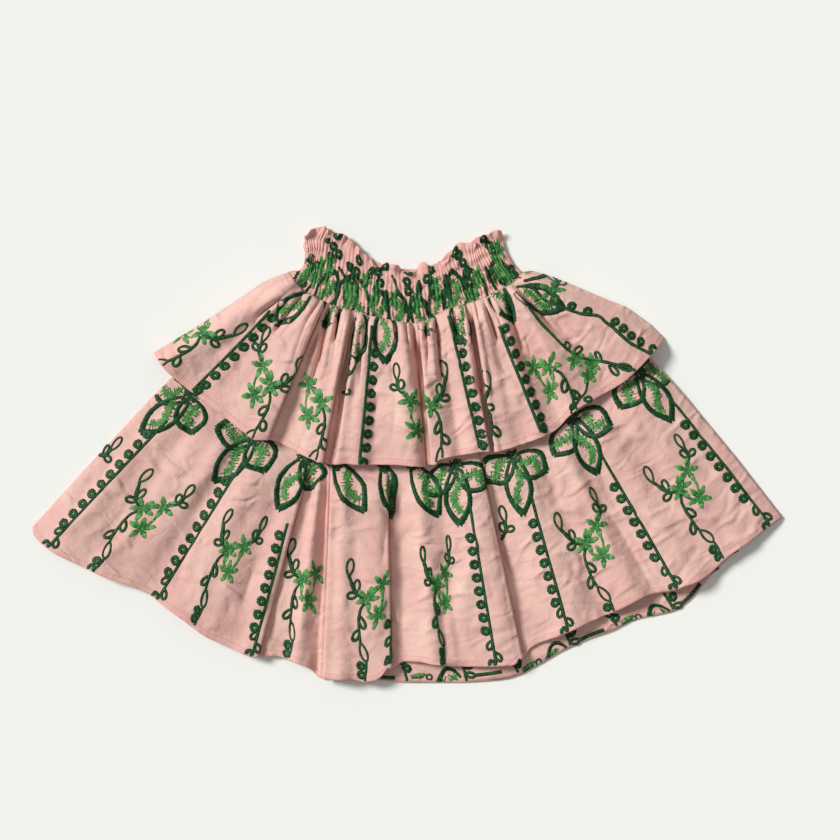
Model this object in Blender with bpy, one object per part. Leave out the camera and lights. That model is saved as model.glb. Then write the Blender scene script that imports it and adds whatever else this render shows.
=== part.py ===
"""A child's two-tier skirt with a shirred waist, laid flat with its front up.

The skirt is a tube of thin cloth, so a front and a back lie on each other.
From the table up there are four layers of tier: the back of the short upper
tier, the back of the long lower tier, the front of the lower tier, and the
front of the upper tier. All four start at the seam under the waistband.
X runs to the right as the skirt is seen, Y from hem to waist, Z off the table.
"""

import bpy
import numpy as np

MM = 0.001

# Driving sizes
CLOTH = 1.2 * MM            # wall of one layer of cloth
GAP = 0.3 * MM              # between layers that touch, and at every seam
LAYER = CLOTH + GAP
SMOCKED = 2.7 * MM          # the back of the band, gathered and pressed by the table
FULL_FOLD = 7.5 * MM        # height of the tallest fold
COVERED_FOLD = 2.0 * MM     # height that a fold of the lower tier keeps under the upper one
GATHER = 1.8 * MM           # height of the small gathers just under the band
RIBS = 50                   # pleats that the elastic draws up across the front of the band
RUFFLES = 13                # waves in the free edge above the top row of elastic
RUFFLE = 4.2 * MM           # height of those waves
BACK_UPPER_SHORTER = 5 * MM  # the back of the upper tier lies this much further from the hem
LOWER_SEAM = (-84 * MM, 84 * MM)  # stretch of the seam that the lower tier's layers fill
KNEE = 0.45                 # share of the lower tier's length where it leaves the upper one

# The band from its left end to its right: free top edge, and seam to the tiers
BAND_COLUMNS = ("top_x", "top_y", "seam_x", "seam_y")
BAND_MM = (
    (-86, 182, -100, 156),
    (-82, 192, -95, 147),
    (-73, 193, -88, 140),
    (-63, 190, -78, 134),
    (-55, 185, -66, 128),
    (-45, 176, -53, 124),
    (-35, 169, -40, 121),
    (-25, 164, -27, 117),
    (-14, 159, -13, 114),
    (-3, 158, 0, 112),
    (8, 158, 12, 113),
    (19, 161, 23, 118),
    (28, 165, 35, 124),
    (34, 172, 46, 127),
    (42, 176, 56, 130),
    (52, 179, 66, 134),
    (57, 184, 75, 139),
    (65, 187, 85, 143),
    (74, 188, 92, 148),
    (81, 187, 97, 155),
)

# Fold lines of the upper tier's front, left to right: where each leaves the seam,
# where it meets the hem, and how high it stands there (0 is the floor of a valley)
UPPER_COLUMNS = ("seam_x", "hem_x", "hem_y", "height")
UPPER_MM = (
    (-99.8, -215, 86, 0),
    (-97, -213, 83, 3),
    (-94, -206, 74, 5.5),
    (-91, -192, 61, 3.5),
    (-88, -172, 46, 2),
    (-84, -154, 32, 4),
    (-79, -137, 19, 6),
    (-74, -125, 12, 7.5),
    (-71, -120, 14, 2),
    (-67, -112, 12, 0.5),
    (-63, -98, 5, 1.5),
    (-58, -84, -1, 4.5),
    (-53, -76, -4, 6.5),
    (-49, -68, -8, 3),
    (-45, -60, -8, 0),
    (-39, -52, -7, 5),
    (-33, -43, -8, 6),
    (-24, -28, -8, 3.5),
    (-15, -13, -8, 5),
    (-5, 2, -9, 7),
    (1, 10, -10, 4),
    (5, 14, -11, 0.5),
    (9, 20, -10, 0.5),
    (13, 23, -4, 6),
    (19, 34, -2, 6.5),
    (25, 45, 0, 4),
    (33, 57, 2, 6.5),
    (40, 65, 3, 4),
    (45, 69, 2, 0),
    (50, 74, 4, 5.5),
    (57, 86, 6, 6.5),
    (64, 99, 10, 4),
    (70, 113, 15, 6),
    (76, 120, 18, 2.5),
    (80, 130, 25, 0.5),
    (83, 136, 32, 4),
    (85.5, 144, 39, 6.5),
    (88, 159, 48, 4),
    (90, 172, 55, 1.5),
    (92, 184, 63, 5),
    (94, 198, 76, 6.5),
    (95.5, 210, 89, 4),
    (96.5, 216, 96, 1.5),
    (97, 217, 99, 0),
)

# Fold lines of the lower tier's front: where each comes out from under the upper
# tier's hem, where it meets its own hem, and its height there
LOWER_COLUMNS = ("knee_x", "hem_x", "hem_y", "height")
LOWER_MM = (
    (-201, -318, -61, 0),
    (-198, -317, -67, 1.2),
    (-191, -311, -74, 2.5),
    (-182, -299, -83, 4),
    (-170, -278, -93, 3),
    (-156, -254, -104, 5),
    (-145, -236, -110, 4),
    (-136, -221, -117, 2),
    (-127, -206, -128, 4.5),
    (-117, -189, -140, 6),
    (-106, -170, -154, 5),
    (-96, -152, -162, 3.5),
    (-86, -134, -170, 5.5),
    (-82, -124, -173, 3.5),
    (-79, -115, -170, 0.5),
    (-76, -105, -172, 1),
    (-73, -93, -176, 4.5),
    (-70, -82, -180, 5.5),
    (-68, -74, -186, 2.5),
    (-65, -70, -189, 0.5),
    (-61, -66, -190, 5),
    (-53, -56, -190, 7),
    (-43, -45, -190, 5.5),
    (-33, -33, -192, 6),
    (-24, -23, -188, 6),
    (-18, -16, -182, 4),
    (-14, -12, -177, 0.5),
    (-8, -2, -175, 0.5),
    (0, 10, -175, 3),
    (8, 23, -177, 5.5),
    (23, 46, -179, 2.5),
    (32, 60, -179, 4.5),
    (49, 85, -178, 7),
    (57, 94, -177, 6.5),
    (60, 98, -171, 2),
    (64, 103, -164, 0.5),
    (72, 113, -159, 1.5),
    (83, 126, -154, 4),
    (93, 140, -148, 5.5),
    (101, 154, -141, 4.5),
    (108, 167, -136, 2.5),
    (116, 181, -130, 4),
    (124, 194, -123, 5.5),
    (131, 206, -118, 3),
    (137, 216, -116, 2),
    (144, 229, -113, 4.5),
    (153, 243, -108, 5.5),
    (163, 258, -99, 3.5),
    (171, 269, -88, 4.5),
    (180, 284, -77, 5),
    (189, 297, -68, 3.5),
    (197, 309, -59, 2),
    (205, 318, -53, 0),
)

# The back of the lower tier, which shows below the front's hem on the right
BACK_LOWER_COLUMNS = ("knee_x", "hem_x", "hem_y")
BACK_LOWER_MM = (
    (-201, -318, -61),
    (-185, -303, -78),
    (-163, -266, -95),
    (-137, -222, -112),
    (-113, -181, -142),
    (-95, -150, -158),
    (-76, -104, -168),
    (-67, -72, -183),
    (-37, -38, -189),
    (-15, -13, -192),
    (0, 10, -193),
    (19, 40, -193),
    (34, 63, -192),
    (47, 82, -190),
    (58, 96, -186),
    (86, 130, -167),
    (101, 154, -156),
    (110, 171, -150),
    (124, 195, -139),
    (134, 211, -136),
    (143, 227, -132),
    (148, 235, -127),
    (154, 244, -119),
    (160, 253, -108),
    (165, 261, -99),
    (172, 271, -89),
    (181, 285, -77),
    (195, 306, -62),
    (205, 318, -53),
)

# How far the two sides bow outwards (inwards below 0), on the way from top to hem
SIDE_COLUMNS = ("down", "left", "right")
UPPER_SIDES_MM = (
    (0.0, 0, 0),
    (0.07, 1.5, 5),
    (0.18, 3.5, 7),
    (0.35, 2, 8.3),
    (0.52, 1, 9),
    (0.7, 0.5, 10.5),
    (0.88, 0.3, 6),
    (1.0, 0, 0),
)
LOWER_SIDES_MM = (
    (0.0, 0, 0),
    (0.3, -1, 0),
    (0.45, -3, 0),
    (0.6, -1.5, 2),
    (0.8, -0.3, 2),
    (1.0, 0, 0),
)
BAND_SIDES_MM = (
    (0.0, 0, 0),
    (0.2, -1, -3),
    (0.32, -5, -4.3),
    (0.45, -7, -4.4),
    (0.7, -9, -3.8),
    (0.86, -6.5, -2.3),
    (1.0, 0, 0),
)
SIDE_REACH = 0.2            # share of a piece's width over which a bow dies away

UPPER_ROWS = np.array([0.0, 0.05, 0.12, 0.22, 0.35, 0.5, 0.67, 0.84, 1.0])
# Heights on the way from seam to hem, as shares of the fold's height at the hem
UPPER_RISE = ((0.0, 0.2), (0.12, 0.7), (0.3, 1.0), (0.75, 1.05), (1.0, 0.9))


def smooth(share):
    """Eases from 0 to 1 with level ends."""
    share = np.clip(share, 0.0, 1.0)
    return share * share * (3.0 - 2.0 * share)


def through_rows(table, count):
    """Reads a table of rows at count even steps, on curves that never overshoot a row."""
    rows = np.array(table, float)
    step = np.diff(rows, axis=0)
    before, after = step[:-1], step[1:]
    same_way = before * after > 0
    both = np.where(same_way, before + after, 1.0)
    slope = np.zeros_like(rows)
    slope[1:-1] = np.where(same_way, 2.0 * before * after / both, 0.0)
    slope[0], slope[-1] = step[0], step[-1]
    place = np.linspace(0.0, len(rows) - 1, count)
    left = np.minimum(place.astype(int), len(rows) - 2)
    f = (place - left)[:, None]
    return (
        rows[left] * (1 + 2 * f) * (1 - f) ** 2
        + slope[left] * f * (1 - f) ** 2
        + rows[left + 1] * f * f * (3 - 2 * f)
        + slope[left + 1] * f * f * (f - 1)
    )


def named(values, columns):
    """The columns of a read table by name, with lengths in metres."""
    return {name: values[:, i] * MM for i, name in enumerate(columns)}


BAND_EDGE = named(through_rows(BAND_MM, 20 * len(BAND_MM)), BAND_COLUMNS)
UPPER_EDGE = named(np.array(UPPER_MM, float), UPPER_COLUMNS)


def seam_y(x):
    """Y of the seam under the band at x."""
    return np.interp(x, BAND_EDGE["seam_x"], BAND_EDGE["seam_y"])


def past_upper_hem(x, y):
    """How far a point lies below the upper tier's front hem, square to the hem."""
    hem = np.interp(x, UPPER_EDGE["hem_x"], UPPER_EDGE["hem_y"])
    slope = np.interp(np.abs(x), (60 * MM, 160 * MM), (0.0, 0.75))
    return (hem - y) / np.sqrt(1.0 + slope * slope)


def step_down(x, y, start, length):
    """One layer's height over the upper tier's back, easing to 0 below its hem."""
    return LAYER * (1.0 - smooth((past_upper_hem(x, y) - start) / length))


def grid(seam, hem, along, sides, knee=None):
    """Lines from seam to hem, straight or bent at a knee; shape rows, columns, 2.

    The two sides bow by their table, and the bow dies away towards the middle.
    """
    t = np.asarray(along)[:, None, None]
    if knee is None:
        plan = seam + (hem - seam) * t
    else:
        plan = np.where(
            t < KNEE,
            seam + (knee - seam) * t / KNEE,
            knee + (hem - knee) * (t - KNEE) / (1 - KNEE),
        )
    down, left, right = np.array(sides, float).T
    share = np.linspace(0.0, 1.0, plan.shape[1])
    for side, bow, turn, inwards in ((0, left, 1, share), (-1, right, -1, 1 - share)):
        edge = hem[side] - seam[side]
        outwards = turn * np.array([edge[1], -edge[0]]) / np.linalg.norm(edge)
        size = np.interp(along, down, bow) * MM
        fade = smooth(1 - inwards / SIDE_REACH)
        plan = plan + size[:, None, None] * fade[None, :, None] * outwards
    return plan


def seam_line(x):
    """Points of the tiers' top edges, one gap below the band's lower edge."""
    ahead = seam_y(x + MM) - seam_y(x - MM)
    tilt = ahead / (2 * MM)
    size = np.sqrt(1.0 + tilt * tilt)
    return np.stack([x + tilt / size * GAP, seam_y(x) - GAP / size], axis=-1)


def normals(points):
    """Unit normals of a grid of points, upwards, level along the first row."""
    across = np.gradient(points, axis=1)
    down = np.gradient(points, axis=0)
    n = np.cross(down, across)
    n /= np.linalg.norm(n, axis=2, keepdims=True)
    n[0] = (0.0, 0.0, 1.0)
    return n


def lifted(plan, z):
    """Joins plan positions and heights into points."""
    return np.concatenate([plan, z[..., None]], axis=2)


def wall(name, inner, outer, material):
    """A closed wall between two grids with equal column counts."""
    columns = inner.shape[1]
    sides = []
    vertices = []
    faces = []
    for points in (inner, outer):
        first = len(vertices)
        index = first + np.arange(points.shape[0] * columns).reshape(-1, columns)
        vertices.extend(map(tuple, points.reshape(-1, 3)))
        sides.append(index)
    low, high = sides
    for index, flip in ((low, False), (high, True)):
        for r in range(index.shape[0] - 1):
            for c in range(columns - 1):
                quad = [index[r, c], index[r, c + 1], index[r + 1, c + 1], index[r + 1, c]]
                faces.append(quad[::-1] if flip else quad)
    for c in range(columns - 1):
        faces.append([low[0, c + 1], low[0, c], high[0, c], high[0, c + 1]])
        faces.append([low[-1, c], low[-1, c + 1], high[-1, c + 1], high[-1, c]])
    faces.append([*low[:, 0], *high[::-1, 0]])
    faces.append([*low[::-1, -1], *high[:, -1]])
    mesh = bpy.data.meshes.new(name)
    mesh.from_pydata(vertices, [], [[int(i) for i in face] for face in faces])
    mesh.materials.append(material)
    mesh.shade_smooth()
    obj = bpy.data.objects.new(name, mesh)
    bpy.context.scene.collection.objects.link(obj)
    return obj


def cloth_material(name, colour, roughness):
    material = bpy.data.materials.new(name)
    material.use_nodes = True
    shader = material.node_tree.nodes["Principled BSDF"]
    shader.inputs["Base Color"].default_value = (*colour, 1.0)
    shader.inputs["Roughness"].default_value = roughness
    shader.inputs["Metallic"].default_value = 0.0
    return material


def band_plan(columns, along):
    """Plan positions of the band, from its free edge down to the seam."""
    edge = named(through_rows(BAND_MM, columns), BAND_COLUMNS)
    top = np.stack([edge["top_x"], edge["top_y"]], axis=-1)
    seam = np.stack([edge["seam_x"], edge["seam_y"]], axis=-1)
    return grid(top, seam, along, BAND_SIDES_MM)


def back_band_top(along):
    """Upper face of the back band: a thin free edge, then the thicker smocked cloth."""
    return np.interp(along, (0.1, 0.22), (CLOTH, SMOCKED))


def back_waistband(material):
    along = np.array([0.0, 0.1, 0.22, 0.32, 0.45, 0.7, 0.86, 1.0])
    plan = band_plan(2 * len(BAND_MM) - 1, along)
    top = np.broadcast_to(back_band_top(along)[:, None], plan.shape[:2])
    under = lifted(plan, np.zeros(plan.shape[:2]))
    return wall("waistband_back", under, lifted(plan, top), material)


def front_waistband(material):
    """Smocked wall: ribs that the five rows of elastic pinch, and a free ruffle above."""
    elastic = np.linspace(0.22, 0.94, 5)
    puffs = (elastic[:-1] + elastic[1:]) / 2
    along = np.sort(np.concatenate([[0.0, 0.1], elastic, puffs, [1.0]]))
    puffed = np.isin(along, puffs).astype(float)[:, None]
    columns = 2 * RIBS + 1
    plan = band_plan(columns, along)
    across = np.linspace(0.0, 1.0, columns)[None, :]
    ends = smooth(np.minimum(across, 1 - across) / 0.05)
    free = 1.0 - smooth(along / 0.2)[:, None]
    wave = 0.5 - 0.5 * np.cos(2 * np.pi * RUFFLES * across + 0.9 * np.sin(9 * across))
    inside = back_band_top(along)[:, None] + GAP + RUFFLE * wave * free * ends
    rib = (np.arange(columns) % 2)[None, :] * ends * (1 - free)
    thick = CLOTH + 0.2 * MM + (0.7 + 1.1 * puffed) * rib * MM + 0.9 * MM * puffed * ends
    thick = np.where(free > 0.5, CLOTH, thick)
    inner = lifted(plan, inside)
    outer = inner + normals(inner) * thick[..., None]
    outer[-1] = inner[-1] + np.stack([0 * thick[-1], 0 * thick[-1], thick[-1]], axis=-1)
    plain = ~np.isin(along, puffs)
    return wall("waistband_front", inner[plain], outer, material)


def front_upper_tier(material):
    """The short ruffle on top: gathers under the band that run out into the large folds."""
    along = UPPER_ROWS
    columns = 2 * len(UPPER_MM) - 1
    fold = named(through_rows(UPPER_MM, columns), UPPER_COLUMNS)
    seam = seam_line(fold["seam_x"])
    hem = np.stack([fold["hem_x"], fold["hem_y"]], axis=-1)
    plan = grid(seam, hem, along, UPPER_SIDES_MM)
    from_seam = along[:, None] * np.linalg.norm(hem - seam, axis=1)[None, :]
    edge = np.minimum(
        np.linalg.norm(plan - plan[:, :1], axis=2),
        np.linalg.norm(plan - plan[:, -1:], axis=2),
    )
    level = 3 * LAYER + (COVERED_FOLD + 0.1 * MM) * smooth(from_seam / (14 * MM))
    base = LAYER + (level - LAYER) * smooth(edge / (12 * MM))
    rise = np.interp(along, *zip(*UPPER_RISE))[:, None]
    gather = GATHER * (np.arange(columns) % 2) * np.exp(-((along[:, None] / 0.2) ** 2))
    height = fold["height"][None, :] * rise + gather * smooth(edge / (12 * MM))
    inner = lifted(plan, base + height)
    outer = inner + normals(inner) * CLOTH
    return wall("upper_tier_front", inner, outer, material)


def lower_lines(fold):
    """Seam, knee and hem points of the lower tier's fold lines."""
    x = fold["knee_x"]
    seam_x = np.interp(x, (x[0], x[-1]), LOWER_SEAM)
    knee_y = np.interp(x, UPPER_EDGE["hem_x"], UPPER_EDGE["hem_y"])
    knee = np.stack([x, knee_y], axis=-1)
    hem = np.stack([fold["hem_x"], fold["hem_y"]], axis=-1)
    return seam_line(seam_x), knee, hem


def front_lower_tier(material):
    """The long tier: nearly flat under the ruffle, with its full folds below it."""
    along = np.array([0, 0.14, 0.28, 0.38, 0.45, 0.51, 0.58, 0.66, 0.75, 0.85, 0.93, 1.0])
    fold = named(through_rows(LOWER_MM, 2 * len(LOWER_MM) - 1), LOWER_COLUMNS)
    seam, knee, hem = lower_lines(fold)
    plan = grid(seam, hem, along, LOWER_SIDES_MM, knee)
    x, y = plan[..., 0], plan[..., 1]
    from_seam = np.linalg.norm(plan - seam, axis=2)
    covered = COVERED_FOLD * smooth((from_seam - 4 * MM) / (30 * MM))
    open_air = smooth((past_upper_hem(x, y) - 3 * MM) / (26 * MM))
    full = covered + (FULL_FOLD - COVERED_FOLD) * open_air
    height = fold["height"] / FULL_FOLD * full
    inner = lifted(plan, step_down(x, y, 24 * MM, 34 * MM) + LAYER + height)
    outer = inner + normals(inner) * CLOTH
    return wall("lower_tier_front", inner, outer, material)


def back_lower_tier(material):
    """The long tier's back: flat on the upper tier's back, then on the table."""
    along = np.array([0.0, 0.2, 0.36, 0.45, 0.48, 0.51, 0.56, 0.78, 1.0])
    rows = through_rows(BACK_LOWER_MM, 2 * len(BACK_LOWER_MM) - 1)
    fold = named(rows, BACK_LOWER_COLUMNS)
    seam, knee, hem = lower_lines(fold)
    plan = grid(seam, hem, along, LOWER_SIDES_MM, knee)
    floor = step_down(plan[..., 0], plan[..., 1], 2 * MM, 12 * MM)
    under = lifted(plan, floor)
    return wall("lower_tier_back", under, under + (0.0, 0.0, CLOTH), material)


def back_upper_tier(material):
    """The short tier's back: one flat layer on the table."""
    along = UPPER_ROWS
    fold = named(through_rows(UPPER_MM, len(UPPER_MM)), UPPER_COLUMNS)
    seam = seam_line(fold["seam_x"])
    hem_y = fold["hem_y"] + BACK_UPPER_SHORTER * smooth(np.arange(len(seam)) / 3)
    hem = np.stack([fold["hem_x"], hem_y], axis=-1)
    hem[-3:, 1] -= BACK_UPPER_SHORTER * np.array([0.3, 0.7, 1.0])
    plan = grid(seam, hem, along, UPPER_SIDES_MM)
    under = lifted(plan, np.zeros(plan.shape[:2]))
    return wall("upper_tier_back", under, under + (0.0, 0.0, CLOTH), material)


def centre_on_origin(objects):
    """Moves all pieces so that the origin is under the middle of their box."""
    points = np.array([v.co for obj in objects for v in obj.data.vertices])
    middle = (points.min(axis=0) + points.max(axis=0)) / 2
    for obj in objects:
        for vertex in obj.data.vertices:
            vertex.co.x -= middle[0]
            vertex.co.y -= middle[1]


for old in list(bpy.data.objects):
    bpy.data.objects.remove(old)

poplin_light = cloth_material("upper_tier_cotton", (0.80, 0.52, 0.48), 0.85)
poplin_deep = cloth_material("lower_tier_cotton", (0.76, 0.49, 0.45), 0.85)
shirred = cloth_material("shirred_cotton", (0.74, 0.45, 0.43), 0.9)

centre_on_origin(
    [
        back_upper_tier(poplin_light),
        back_lower_tier(poplin_deep),
        front_lower_tier(poplin_deep),
        front_upper_tier(poplin_light),
        back_waistband(shirred),
        front_waistband(shirred),
    ]
)
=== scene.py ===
"""A child's two-tier skirt of embroidered cotton with a shirred waist, laid flat on a
pale table. Tables, motifs and stitches are in mm; everything else is in metres."""

import bpy
import numpy as np
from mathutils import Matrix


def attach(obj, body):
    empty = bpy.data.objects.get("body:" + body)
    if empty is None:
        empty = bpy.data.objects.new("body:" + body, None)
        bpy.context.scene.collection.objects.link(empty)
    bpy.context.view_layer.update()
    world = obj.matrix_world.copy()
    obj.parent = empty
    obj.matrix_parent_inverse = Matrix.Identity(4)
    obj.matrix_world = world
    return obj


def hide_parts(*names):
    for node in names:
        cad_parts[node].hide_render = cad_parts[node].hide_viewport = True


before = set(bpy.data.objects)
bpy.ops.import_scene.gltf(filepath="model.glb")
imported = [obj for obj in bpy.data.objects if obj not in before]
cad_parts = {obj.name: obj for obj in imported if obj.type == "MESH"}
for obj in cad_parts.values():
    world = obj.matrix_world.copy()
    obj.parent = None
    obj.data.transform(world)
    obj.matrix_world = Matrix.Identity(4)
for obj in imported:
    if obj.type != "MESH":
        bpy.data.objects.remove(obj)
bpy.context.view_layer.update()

# Waistband, back half
# The skirt's cotton, drawn up by five rows of elastic thread so that it lies as a thick
# pad of tiny pleats. This half lies on the table and its face is turned down.
MM = 0.001
CLOTH = 0.6 * MM            # drawn wall of one layer; the real poplin is thinner
WALL = 1.2 * MM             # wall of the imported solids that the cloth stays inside
LAYER = 1.5 * MM            # from one resting layer to the next
SMOCKED = 2.7 * MM          # the band's back half, gathered and pressed flat
# The band from its left end to its right: free top edge, and seam to the tiers
BAND_COLUMNS = ("top_x", "top_y", "seam_x", "seam_y")
BAND_MM = (
    (-86, 182, -100, 156),
    (-82, 192, -95, 147),
    (-73, 193, -88, 140),
    (-63, 190, -78, 134),
    (-55, 185, -66, 128),
    (-45, 176, -53, 124),
    (-35, 169, -40, 121),
    (-25, 164, -27, 117),
    (-14, 159, -13, 114),
    (-3, 158, 0, 112),
    (8, 158, 12, 113),
    (19, 161, 23, 118),
    (28, 165, 35, 124),
    (34, 172, 46, 127),
    (42, 176, 56, 130),
    (52, 179, 66, 134),
    (57, 184, 75, 139),
    (65, 187, 85, 143),
    (74, 188, 92, 148),
    (81, 187, 97, 155),
)
# How far the two ends bow outwards on the way from the free edge to the seam
BAND_SIDES_MM = (
    (0.0, 0, 0),
    (0.2, -1, -3),
    (0.32, -5, -4.3),
    (0.45, -7, -4.4),
    (0.7, -9, -3.8),
    (0.86, -6.5, -2.3),
    (1.0, 0, 0),
)
SIDE_REACH = 0.2            # share of a piece's width over which a side's bow dies away
PLEATS = 62                 # across each half of the band
# How far the cloth puffs out down the band; the five low places are the rows of elastic
PUFF_DOWN = np.linspace(0.13, 1.03, 11)
PUFF = (0.5, 0, 1, 0, 1, 0, 1, 0, 1, 0.1, 1)


def smooth(share):
    """Eases from 0 to 1 with level ends."""
    share = np.clip(share, 0.0, 1.0)
    return share * share * (3.0 - 2.0 * share)


def read_rows(table, place):
    """Reads a table of rows at fractional places, on curves that never overshoot a row."""
    rows = np.array(table, float)
    step = np.diff(rows, axis=0)
    before, after = step[:-1], step[1:]
    same_way = before * after > 0
    both = np.where(same_way, before + after, 1.0)
    slope = np.zeros_like(rows)
    slope[1:-1] = np.where(same_way, 2.0 * before * after / both, 0.0)
    slope[0], slope[-1] = step[0], step[-1]
    left = np.clip(np.asarray(place).astype(int), 0, len(rows) - 2)
    f = (place - left)[:, None]
    return (
        rows[left] * (1 + 2 * f) * (1 - f) ** 2
        + slope[left] * f * (1 - f) ** 2
        + rows[left + 1] * f * f * (3 - 2 * f)
        + slope[left + 1] * f * f * (f - 1)
    )


def named(values, columns):
    """The columns of a read table by name, with lengths in metres."""
    return {name: values[:, i] * MM for i, name in enumerate(columns)}


def read_table(table, columns, count):
    """Reads a table at count even steps, as named columns in metres."""
    return named(read_rows(table, np.linspace(0, len(table) - 1, count)), columns)


def unrest(u, v, seed):
    """Soft random relief from -1 to 1; one lump is one unit of u or v across."""
    cells = 97
    lattice = np.random.default_rng(seed).uniform(-1.0, 1.0, (cells, cells))
    iu, iv = np.floor(u).astype(int), np.floor(v).astype(int)
    fu, fv = smooth(u - iu), smooth(v - iv)
    corner = lambda a, b: lattice[(iu + a) % cells, (iv + b) % cells]
    return (
        corner(0, 0) * (1 - fu) * (1 - fv)
        + corner(1, 0) * fu * (1 - fv)
        + corner(0, 1) * (1 - fu) * fv
        + corner(1, 1) * fu * fv
    )


def crumpled(u, v, seed):
    """Crisp small creases that cross each other, from about -1 to 1."""
    bend = unrest(u * 0.5, v * 0.5, seed + 7)
    one = unrest(u + 0.8 * bend, v - 0.6 * bend, seed)
    other = unrest(0.6 * u + 0.5 * v, 0.8 * v - 0.45 * u + bend, seed + 1)
    return 0.6 * (1 - 2.2 * np.abs(one)) + 0.5 * (1 - 2.2 * np.abs(other))


def fan(top, hem, along, sides, knee=None, knee_at=0.45):
    """Plan positions on lines from top to hem, with the two side edges bowed."""
    t = np.asarray(along)[:, None, None]
    if knee is None:
        plan = top + (hem - top) * t
    else:
        upper = top + (knee - top) * t / knee_at
        lower = knee + (hem - knee) * (t - knee_at) / (1 - knee_at)
        plan = np.where(t < knee_at, upper, lower)
    down, left, right = np.array(sides, float).T
    reach = np.linspace(0.0, 1.0, plan.shape[1])
    for side, bow, turn, inwards in ((0, left, 1, reach), (-1, right, -1, 1 - reach)):
        edge = hem[side] - top[side]
        outwards = turn * np.array([edge[1], -edge[0]]) / np.linalg.norm(edge)
        size = np.interp(along, down, bow) * MM
        fade = smooth(1 - inwards / SIDE_REACH)
        plan = plan + size[:, None, None] * fade[None, :, None] * outwards
    return plan


class Layer:
    """One layer of cloth as a grid of points: rows run from its top edge to its hem.

    across and down are the cloth's own measure along each row and each column, taken on
    flat where that is given, and motifs are laid out in them.
    """

    def __init__(self, points, flat=None, face=1):
        self.points = points
        self.face = face
        side = np.gradient(points, axis=1)
        ahead = np.gradient(points, axis=0)
        n = np.cross(ahead, side)
        self.normals = face * n / np.maximum(np.linalg.norm(n, axis=2, keepdims=True), 1e-12)
        flat = points if flat is None else flat
        self.across = np.zeros(points.shape[:2])
        self.across[:, 1:] = np.cumsum(np.linalg.norm(np.diff(flat, axis=1), axis=2), axis=1)
        self.down = np.zeros(points.shape[:2])
        self.down[1:] = np.cumsum(np.linalg.norm(np.diff(flat, axis=0), axis=2), axis=0)


def cut_cloth(name, layer, thick, material, node, hem=0.0):
    """A closed shell hung on a layer: the embroidered face, and the wrong side behind it."""
    rows, columns = layer.points.shape[:2]
    top = layer.points
    under = top - layer.normals * thick
    if layer.face < 0:
        top, under = under, top
    # No point goes below the table, nor the upper side below the lower one
    under = np.maximum(under, (-1e9, -1e9, 0.0))
    top = np.maximum(top, under + (-1e9, -1e9, 0.0))
    vertices = np.concatenate([top.reshape(-1, 3), under.reshape(-1, 3)])
    index = np.arange(rows * columns).reshape(rows, columns)
    a, b, c, d = index[:-1, :-1], index[1:, :-1], index[1:, 1:], index[:-1, 1:]
    upper = np.stack([a, b, c, d], axis=-1).reshape(-1, 4)
    far = rows * columns
    lower = upper[:, ::-1] + far
    rim = []
    for line in (index[0, ::-1], index[:, 0], index[-1], index[::-1, -1]):
        rim.append(np.stack([line[:-1], line[:-1] + far, line[1:] + far, line[1:]], axis=-1))
    faces = np.concatenate([upper, lower, *rim])
    mesh = bpy.data.meshes.new(name)
    mesh.from_pydata(vertices.tolist(), [], faces.tolist())
    mesh.shade_smooth()
    measure = np.stack([layer.across[-1][None, :] + 0 * layer.down, layer.down], axis=-1)
    measure = np.concatenate([measure.reshape(-1, 2)] * 2)
    corners = np.empty(len(mesh.loops), int)
    mesh.loops.foreach_get("vertex_index", corners)
    uv = mesh.uv_layers.new(name="cloth")
    uv.data.foreach_set("uv", measure[corners].ravel())
    turned = smooth((layer.down - layer.down[-1:] + hem) / MM) if hem else 0 * layer.down
    turned = np.concatenate([turned.ravel()] * 2)
    mesh.attributes.new("turned_up", "FLOAT", "POINT").data.foreach_set("value", turned)
    mesh.materials.append(material)
    piece = bpy.data.objects.new(name, mesh)
    bpy.context.scene.collection.objects.link(piece)
    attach(piece, "root")
    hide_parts(node)
    area = sum(p.area for p in mesh.polygons) / 2
    return piece, area


def linear(colour):
    """An sRGB hex colour as linear RGBA."""
    parts = [int(colour[i : i + 2], 16) / 255 for i in (1, 3, 5)]
    parts = [p / 12.92 if p <= 0.04045 else ((p + 0.055) / 1.055) ** 2.4 for p in parts]
    return (*parts, 1.0)


def add_node(tree, kind, settings=(), links=()):
    """Adds a node; settings name its properties or sockets, links give socket to output."""
    node = tree.nodes.new(kind)
    for key, value in dict(settings).items():
        if isinstance(key, str) and hasattr(node, key):
            setattr(node, key, value)
        else:
            node.inputs[key].default_value = value
    for key, source in dict(links).items():
        tree.links.new(source, node.inputs[key])
    return node


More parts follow.
